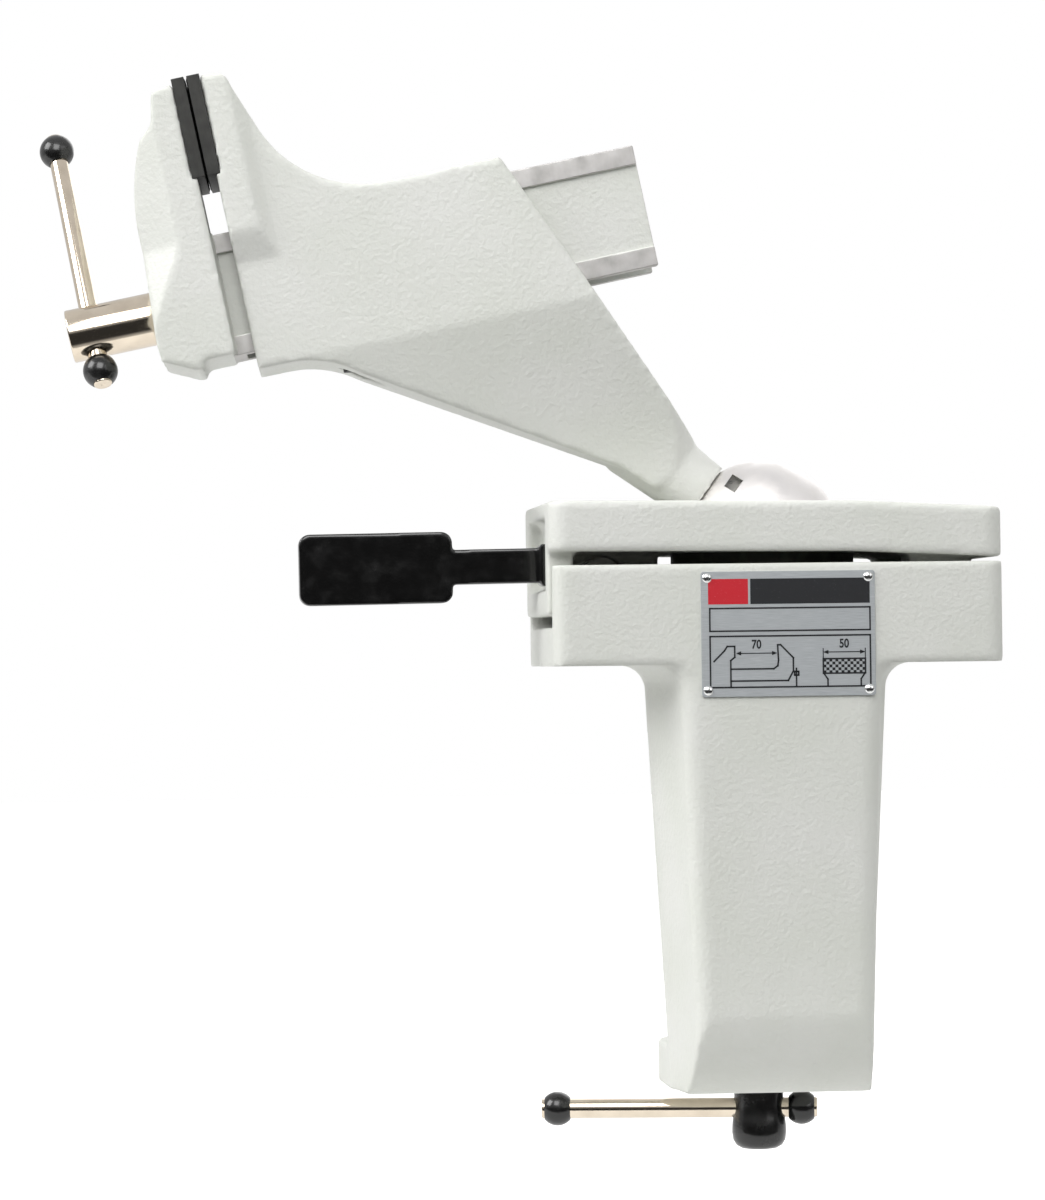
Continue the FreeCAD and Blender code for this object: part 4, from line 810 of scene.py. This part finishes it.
def make_ball_joint():
    """The ball has two notches beside the stem, for the spanner that holds it."""
    bore = STEM_RADIUS + STEM_GAP
    top = math.asin(bore / BALL_RADIUS)
    angles = [math.pi + (top - math.pi) * step / BALL_STEPS for step in range(BALL_STEPS + 1)]
    skin = [(max(0.0, BALL_RADIUS * math.sin(angle)), BALL_RADIUS * math.cos(angle), 0) for angle in angles]
    skin[0] = (0, -BALL_RADIUS, 0)
    section = skin + [(bore, STEM_FLOOR, 0), (0, STEM_FLOOR, 0)]
    steel = link("joint_ball", turned_mesh("ball", NECK, section), BALL_STEEL)
    swung = NECK @ Matrix.Rotation(-math.pi / 2, 4, "Z")
    (start, end), (low, high) = NOTCH_ENDS, NOTCH_HEIGHTS
    notches = [box_mesh("notch", swung, (start, near, low), (end, far, high)) for near, far in NOTCH_SIDES]
    carved(steel, "DIFFERENCE", *notches)

    def in_notch(polygon):
        spot = NECK.inverted() @ polygon.center / MM
        return spot.length < BALL_RADIUS - NOTCH_DEEP and Vector(spot.xy).length > bore + NOTCH_CLEAR

    # The notch faces take the darker turned steel: partly their machined finish, partly painted shade in the
    # recess.
    two_finishes(steel, BALL_STEEL, BRIGHT_STEEL, in_notch)
    ready_turned(steel, "ball", "nickel_plate", "ball")
    turned_piece("ball_stem_pin", NECK, [(0, STEM_LOW, 0), (STEM_RADIUS, STEM_LOW, STEM_ROUND),
                                         (STEM_RADIUS, STEM_HIGH, STEM_ROUND), (0, STEM_HIGH, 0)],
                 "head", "bare_steel", BRIGHT_STEEL, "ball_stem")
    crisp("ball_seat_moulding", "ball_seat_cup", "seat_ring", "seat_plastic", SEAT_PLASTIC, 0.3 * MM)


# Lock lever

GRIP_FULL, GRIP_QUICK = (0.4, 10), (0.6, 5)


def make_lever():
    """The steel blank with its cam, and the vinyl that it was dipped in."""
    crisp("lever_blank", "lock_lever", "lever", "bare_steel", PLATE_STEEL, 0.25 * MM)
    crisp("lever_cam", "cam_drum", "lever", "bare_steel", BRIGHT_STEEL, 0.2 * MM)
    voxel, rounds = GRIP_FULL
    grip = moulded(link("lever_grip_dip", solid_of("lever_grip"), VINYL), voxel * MM, rounds)
    ready(grip, "lever", "vinyl_dip", "lever_grip")


# Nameplate: brushed sheet with a plain printed layout, and its four rivets. Places on it are in millimetres
# from its top left corner, to the right and down.

PLATE_LEFT, PLATE_TOP, PLATE_FRONT = -21.7, 24.9, -61.6
INK_THICK = 0.02
LINE, THIN_LINE, ARROW_LINE = 0.46, 0.28, 0.26
# An arrow's head is strokes across it: how many, how far apart, and their half length by their distance.
ARROW_STROKES, ARROW_STEP, ARROW_SLOPE = 4, 0.25, 0.4
# A number's height by its font size, its narrowing, its lines' thickening, and its height
CAPITAL_SHARE, NARROWED, THICKENED, NUMBER_TALL = 0.7, 0.8, 0.1 * MM, 2.3


def on_plate(right, down, proud=0.0):
    """A place on the nameplate's front."""
    return (PLATE_LEFT + right, PLATE_FRONT - proud, PLATE_TOP - down)


def patch(left, top, right, bottom):
    """A printed block."""
    return box_mesh("patch", PLAIN, on_plate(left, bottom, INK_THICK), on_plate(right, top))


def stroke(start, end, wide=LINE):
    """A printed line from one place to another, with square ends."""
    way = Vector(end) - Vector(start)
    half = wide / 2
    flat = box_mesh("stroke", PLAIN, (-half, -INK_THICK, -half), (way.length + half, 0, half))
    turn = Matrix.Rotation(math.atan2(way.y, way.x), 4, "Y")
    flat.transform(Matrix.Translation(Vector(on_plate(*start)) * MM) @ turn)
    return flat


def path(*places):
    """A printed line through several places."""
    return [stroke(start, end) for start, end in zip(places, places[1:])]


def border(left, top, right, bottom):
    """A printed frame."""
    return path((left, top), (right, top), (right, bottom), (left, bottom), (left, top))


def arrow(start, end):
    """A level dimension line with a head at each end."""
    heads = []
    for tip, inward in ((start, 1), (end, -1)):
        for step in range(ARROW_STROKES):
            reach = ARROW_STEP * (step + 1)
            across, half = tip[0] + inward * reach, reach * ARROW_SLOPE
            heads.append(stroke((across, tip[1] - half), (across, tip[1] + half), ARROW_LINE))
    return heads + [stroke(start, end, THIN_LINE)]


def number(text, middle, down):
    """A printed number, as a flat mesh."""
    curve = bpy.data.curves.new("number", "FONT")
    curve.body = text
    curve.align_x = "CENTER"
    curve.size = NUMBER_TALL * MM / CAPITAL_SHARE
    curve.extrude = INK_THICK / 2 * MM
    curve.offset = THICKENED
    letters = in_scene("number", curve)
    mesh = final_mesh(letters)
    bpy.data.objects.remove(letters)
    narrow = Matrix.Diagonal((NARROWED, 1, 1, 1))
    upright = Matrix.Rotation(math.pi / 2, 4, "X")
    mesh.transform(Matrix.Translation(Vector(on_plate(middle, down, INK_THICK / 2)) * MM) @ upright @ narrow)
    return mesh


def opening_sign():
    """Two jaws on their bar seen from the side, with the width that they open to."""
    fixed = path((3.3, 24.1), (6.1, 21.3), (6.9, 20.1), (8.9, 20.1), (8.9, 23.0), (7.8, 23.9), (7.8, 31.1))
    moving = path((7.8, 26.2), (19.4, 26.2), (20.5, 25.4), (20.7, 23.9), (20.5, 19.8), (21.3, 19.8),
                  (24.7, 23.3), (24.7, 26.8), (23.3, 29.4), (7.8, 29.4))
    screw = border(25.0, 27.0, 26.1, 28.0) + path((25.5, 26.2), (25.5, 31.1))
    return fixed + moving + screw + arrow((9.5, 22.0), (20.1, 22.0)) + [number("70", 14.8, 20.7)]


def width_sign():
    """A jaw plate seen from the front, with its width."""
    left, right, top, low = 32.8, 44.2, 23.7, 27.6
    marks = border(left, top, right, low)
    rows, columns = 5, 14
    wide, tall = (right - left) / columns, (low - top) / rows
    for row in range(rows):
        for column in range(row % 2, columns, 2):
            across, down = left + column * wide, top + row * tall
            marks.append(patch(across, down, across + wide, down + tall))
    feet = path((33.0, 27.7), (34.0, 29.2), (34.0, 31.1)) + path((44.0, 27.7), (43.0, 29.2), (43.0, 31.1))
    ticks = [stroke((side, 21.0), (side, top), THIN_LINE) for side in (left, right)]
    return marks + feet + ticks + arrow((33.1, 21.9), (43.9, 21.9)) + [number("50", 38.5, 20.7)]


def make_nameplate():
    """The sheet and its print: a red and a black block, an empty frame, and a frame with the signs."""
    crisp("nameplate_sheet", "nameplate", "frame", "plate_metal", SHEET, 0.12 * MM)
    black = [patch(13.3, 2.0, 45.6, 8.8)] + border(2.3, 9.9, 45.6, 16.0) + border(2.3, 17.4, 45.6, 31.1)
    black += opening_sign() + width_sign()
    ready(merged("nameplate_black_print", black, BLACK_INK), "frame", "plate_metal")
    ready(merged("nameplate_red_print", [patch(1.9, 2.0, 12.7, 8.8)], RED_INK), "frame", "plate_metal")


RIVET_STEPS = 28
RIVETS_MIDDLE, RIVETS_WIDE, RIVETS_TALL = (1.8, 8.1), 43.6, 30.2
RIVET_SECTION = ((0, 0.7, 0), (0.55, 0.62, 0.1), (1.0, 0.38, 0.12), (1.35, 0.05, 0.05), (1.35, 0, 0),
                 (0.88, 0, 0), (0.88, -4.3, 0.3), (0, -4.3, 0))


def make_rivets():
    """Drive rivets, one at each corner of the nameplate."""
    tree, given = geometry_tree("plate_rivets", {"wide": "Float", "tall": "Float", "rivet": "Object"})
    corners = add(tree, "GeometryNodeMeshGrid", {"Size X": given["wide"], "Size Y": given["tall"],
                                                 "Vertices X": 2, "Vertices Y": 2})
    shape = add(tree, "GeometryNodeObjectInfo", {"Object": given["rivet"]})
    rivets = add(tree, "GeometryNodeInstanceOnPoints", {"Points": corners.outputs["Mesh"],
                                                        "Instance": shape.outputs["Geometry"]})
    give_out(tree, rivets, RIVET_METAL)
    one = link("rivet", turned_mesh("rivet", PLAIN, RIVET_SECTION, steps=RIVET_STEPS))
    across, up = RIVETS_MIDDLE
    facing = placed((1, 0, 0), (0, 0, 1), Vector((across, PLATE_FRONT, up)) * MM)
    mesh = grown("rivets", tree, facing, wide=RIVETS_WIDE * MM, tall=RIVETS_TALL * MM, rivet=one)
    bpy.data.objects.remove(one)
    piece = link("nameplate_drive_rivets", mesh, RIVET_METAL)
    smooth_shaded(piece.data, RIVET_SHARP)
    ready(piece, "frame", "rivet_metal", "nameplate_rivets")


# Pins through the box, and what is hidden in the guide

PIN_RADIUS, PIN_START, PIN_END, PIN_ROUND, BOX_BACK = 2.5, 0.1, 78.0, 0.4, 20.0
PINS = (("cam_cross_pin", "cam_bar", -43.3, 23.0), ("lid_hinge_rod", "lid_hinge_pin", 46.6, 18.0))


def make_pins_nut_and_bolt():
    """The two pins start just inside the box's back. The pad's ring keeps its CAD shape."""
    section = [(0, PIN_START, 0), (PIN_RADIUS, PIN_START, PIN_ROUND), (PIN_RADIUS, PIN_END, PIN_ROUND),
               (0, PIN_END, 0)]
    for name, node, x, z in PINS:
        place = along_z(Vector((x, BOX_BACK, z)) * MM, (0, -1, 0), UP)
        turned_piece(name, place, section, "frame", "bare_steel", BRIGHT_STEEL, node)
    crisp("lead_nut_block", "lead_nut", "head", "bare_steel", BRIGHT_STEEL, 0.4 * MM)
    crisp("nut_socket_bolt", "nut_bolt", "head", "bare_steel", BLACKED, 0.25 * MM)
    NODES["pad_retaining_ring"].data.materials.clear()
    NODES["pad_retaining_ring"].data.materials.append(BRIGHT_STEEL)


cast_frame_lid_and_fixed_jaw()
cast_moving_jaw()
knurl = knurl_tree()
make_jaw_plate(knurl, "fixed_jaw_plate", "head", 1)
make_jaw_plate(knurl, "moving_jaw_plate", "moving_jaw", -1)
thread = thread_tree()
make_lead_screw(thread)
make_clamp_screw(thread)
make_cap()
make_handles()
make_ball_joint()
make_lever()
make_nameplate()
make_rivets()
make_pins_nut_and_bolt()


# Camera, light and floor

LENS_PIXELS = 4860.0
IMAGE_TALL = 1200.0
SENSOR = 36.0
SEEN_TO = 20.0
EYE = Vector((-173.751, -1355.212, 2.115)) * MM
AZIMUTH = math.radians(4.6)
RISE = math.radians(0.697)
ROLL = math.radians(0.722)


def make_camera():
    """The camera looks almost level, turned and rolled a little."""
    ahead = Vector((math.sin(AZIMUTH) * math.cos(RISE), math.cos(AZIMUTH) * math.cos(RISE), math.sin(RISE)))
    right = Vector((math.cos(AZIMUTH), -math.sin(AZIMUTH), 0))
    up = right.cross(ahead)
    right, up = right * math.cos(ROLL) - up * math.sin(ROLL), right * math.sin(ROLL) + up * math.cos(ROLL)
    data = bpy.data.cameras.new("camera")
    data.sensor_width = SENSOR
    data.lens = LENS_PIXELS / IMAGE_TALL * SENSOR
    data.clip_end = SEEN_TO
    camera = in_scene("camera", data)
    camera.matrix_world = Matrix.Translation(EYE) @ Matrix((right, up, -ahead)).transposed().to_4x4()
    bpy.context.scene.camera = camera


AIM = Vector((0, 0, 0.02))
# Each lamp's name, place, side and power
LAMPS = (("key", (-1.5, -0.35, 1.0), 1.0, 19), ("overhead", (-0.2, -0.65, 0.52), 0.5, 3.9),
         ("fill", (1.5, -1.5, 0.9), 1.4, 7), ("back", (0.6, 1.6, 0.9), 1.4, 6))


def softbox(name, place, side, watts):
    """A square lamp that faces the object."""
    data = bpy.data.lights.new(name, "AREA")
    data.shape = "SQUARE"
    data.size = side
    data.energy = watts
    lamp = in_scene(name, data)
    lamp.location = place
    lamp.rotation_mode = "QUATERNION"
    lamp.rotation_quaternion = (AIM - Vector(place)).to_track_quat("-Z", "Y")
    lamp.visible_camera = False


FRONT_ROOM = ((0.0, 0.8), (0.1, 0.65), (0.16, 0.05), (0.54, 0.04), (0.6, 0.5), (0.72, 0.9), (1.0, 0.9))
BACK_ROOM = ((0.0, 0.7), (0.45, 0.9), (1.0, 0.95))
ROOM_STRENGTH = 0.75
# The room's front turns into its back between these parts of a direction along y.
FRONT_END, BACK_START = -0.25, 0.15


def room_side(tree, rise, stops):
    """The room's brightness by height, along one of its sides."""
    side = add(tree, "ShaderNodeValToRGB", {"Fac": rise})
    for spot, level in stops[1:-1]:
        side.color_ramp.elements.new(spot)
    for element, (spot, level) in zip(side.color_ramp.elements, stops):
        element.position = spot
        element.color = (level, level, level, 1)
    return side.outputs["Color"]


def make_world():
    """A white room behind, a dark one in front below the lamps, and plain white where it is looked at."""
    world = bpy.data.worlds.new("studio")
    bpy.context.scene.world = world
    world.use_nodes = True
    tree = world.node_tree
    tree.nodes.clear()
    way = add(tree, "ShaderNodeSeparateXYZ", {0: add(tree, "ShaderNodeTexCoord").outputs["Generated"]})
    rise = ranged(tree, way.outputs["Z"], -1, 1)
    behind = ranged(tree, way.outputs["Y"], FRONT_END, BACK_START)
    room = blended(tree, behind, room_side(tree, rise, FRONT_ROOM), room_side(tree, rise, BACK_ROOM))
    lit = add(tree, "ShaderNodeBackground", {"Color": room, "Strength": ROOM_STRENGTH})
    seen = add(tree, "ShaderNodeBackground", {"Color": "FFFFFF", "Strength": 1.0})
    ray = add(tree, "ShaderNodeLightPath").outputs
    looked = maths(tree, "MAXIMUM", ray["Is Camera Ray"], ray["Is Transmission Ray"])
    both = add(tree, "ShaderNodeMixShader", {0: looked, 1: lit, 2: seen})
    add(tree, "ShaderNodeOutputWorld", {"Surface": both})


FLOOR_FRONT, FLOOR_SIDE, FLOOR_BACK = -0.2, 3.0, 6.0
FLOOR_GLOW = 0.55
CLAMP_TRAVEL = 70 * MM


def make_floor():
    """A white table top that starts in front of the object, below the reach of the opened clamp screw."""
    height = cad_box[0].z - CLAMP_TRAVEL
    shape = bmesh.new()
    corners = ((-FLOOR_SIDE, FLOOR_FRONT), (FLOOR_SIDE, FLOOR_FRONT), (FLOOR_SIDE, FLOOR_BACK),
               (-FLOOR_SIDE, FLOOR_BACK))
    shape.faces.new([shape.verts.new((x, y, height)) for x, y in corners])
    material, tree, shader = finish_named("white laminate table")
    tone = blended(tree, noise(tree, coordinates(tree), 40 * MM, 2), "ECECEB", "F0F0EF")
    glow = maths(tree, "MULTIPLY", add(tree, "ShaderNodeLightPath").outputs["Is Camera Ray"], FLOOR_GLOW)
    fill(tree, shader, {"Base Color": tone, "Roughness": 0.9, "Emission Color": "FFFFFF",
                        "Emission Strength": glow})
    link("floor", as_mesh(shape, "floor"), material)


make_camera()
make_world()
make_floor()
for lamp in LAMPS:
    softbox(*lamp)
bpy.context.scene.view_settings.view_transform = "Standard"
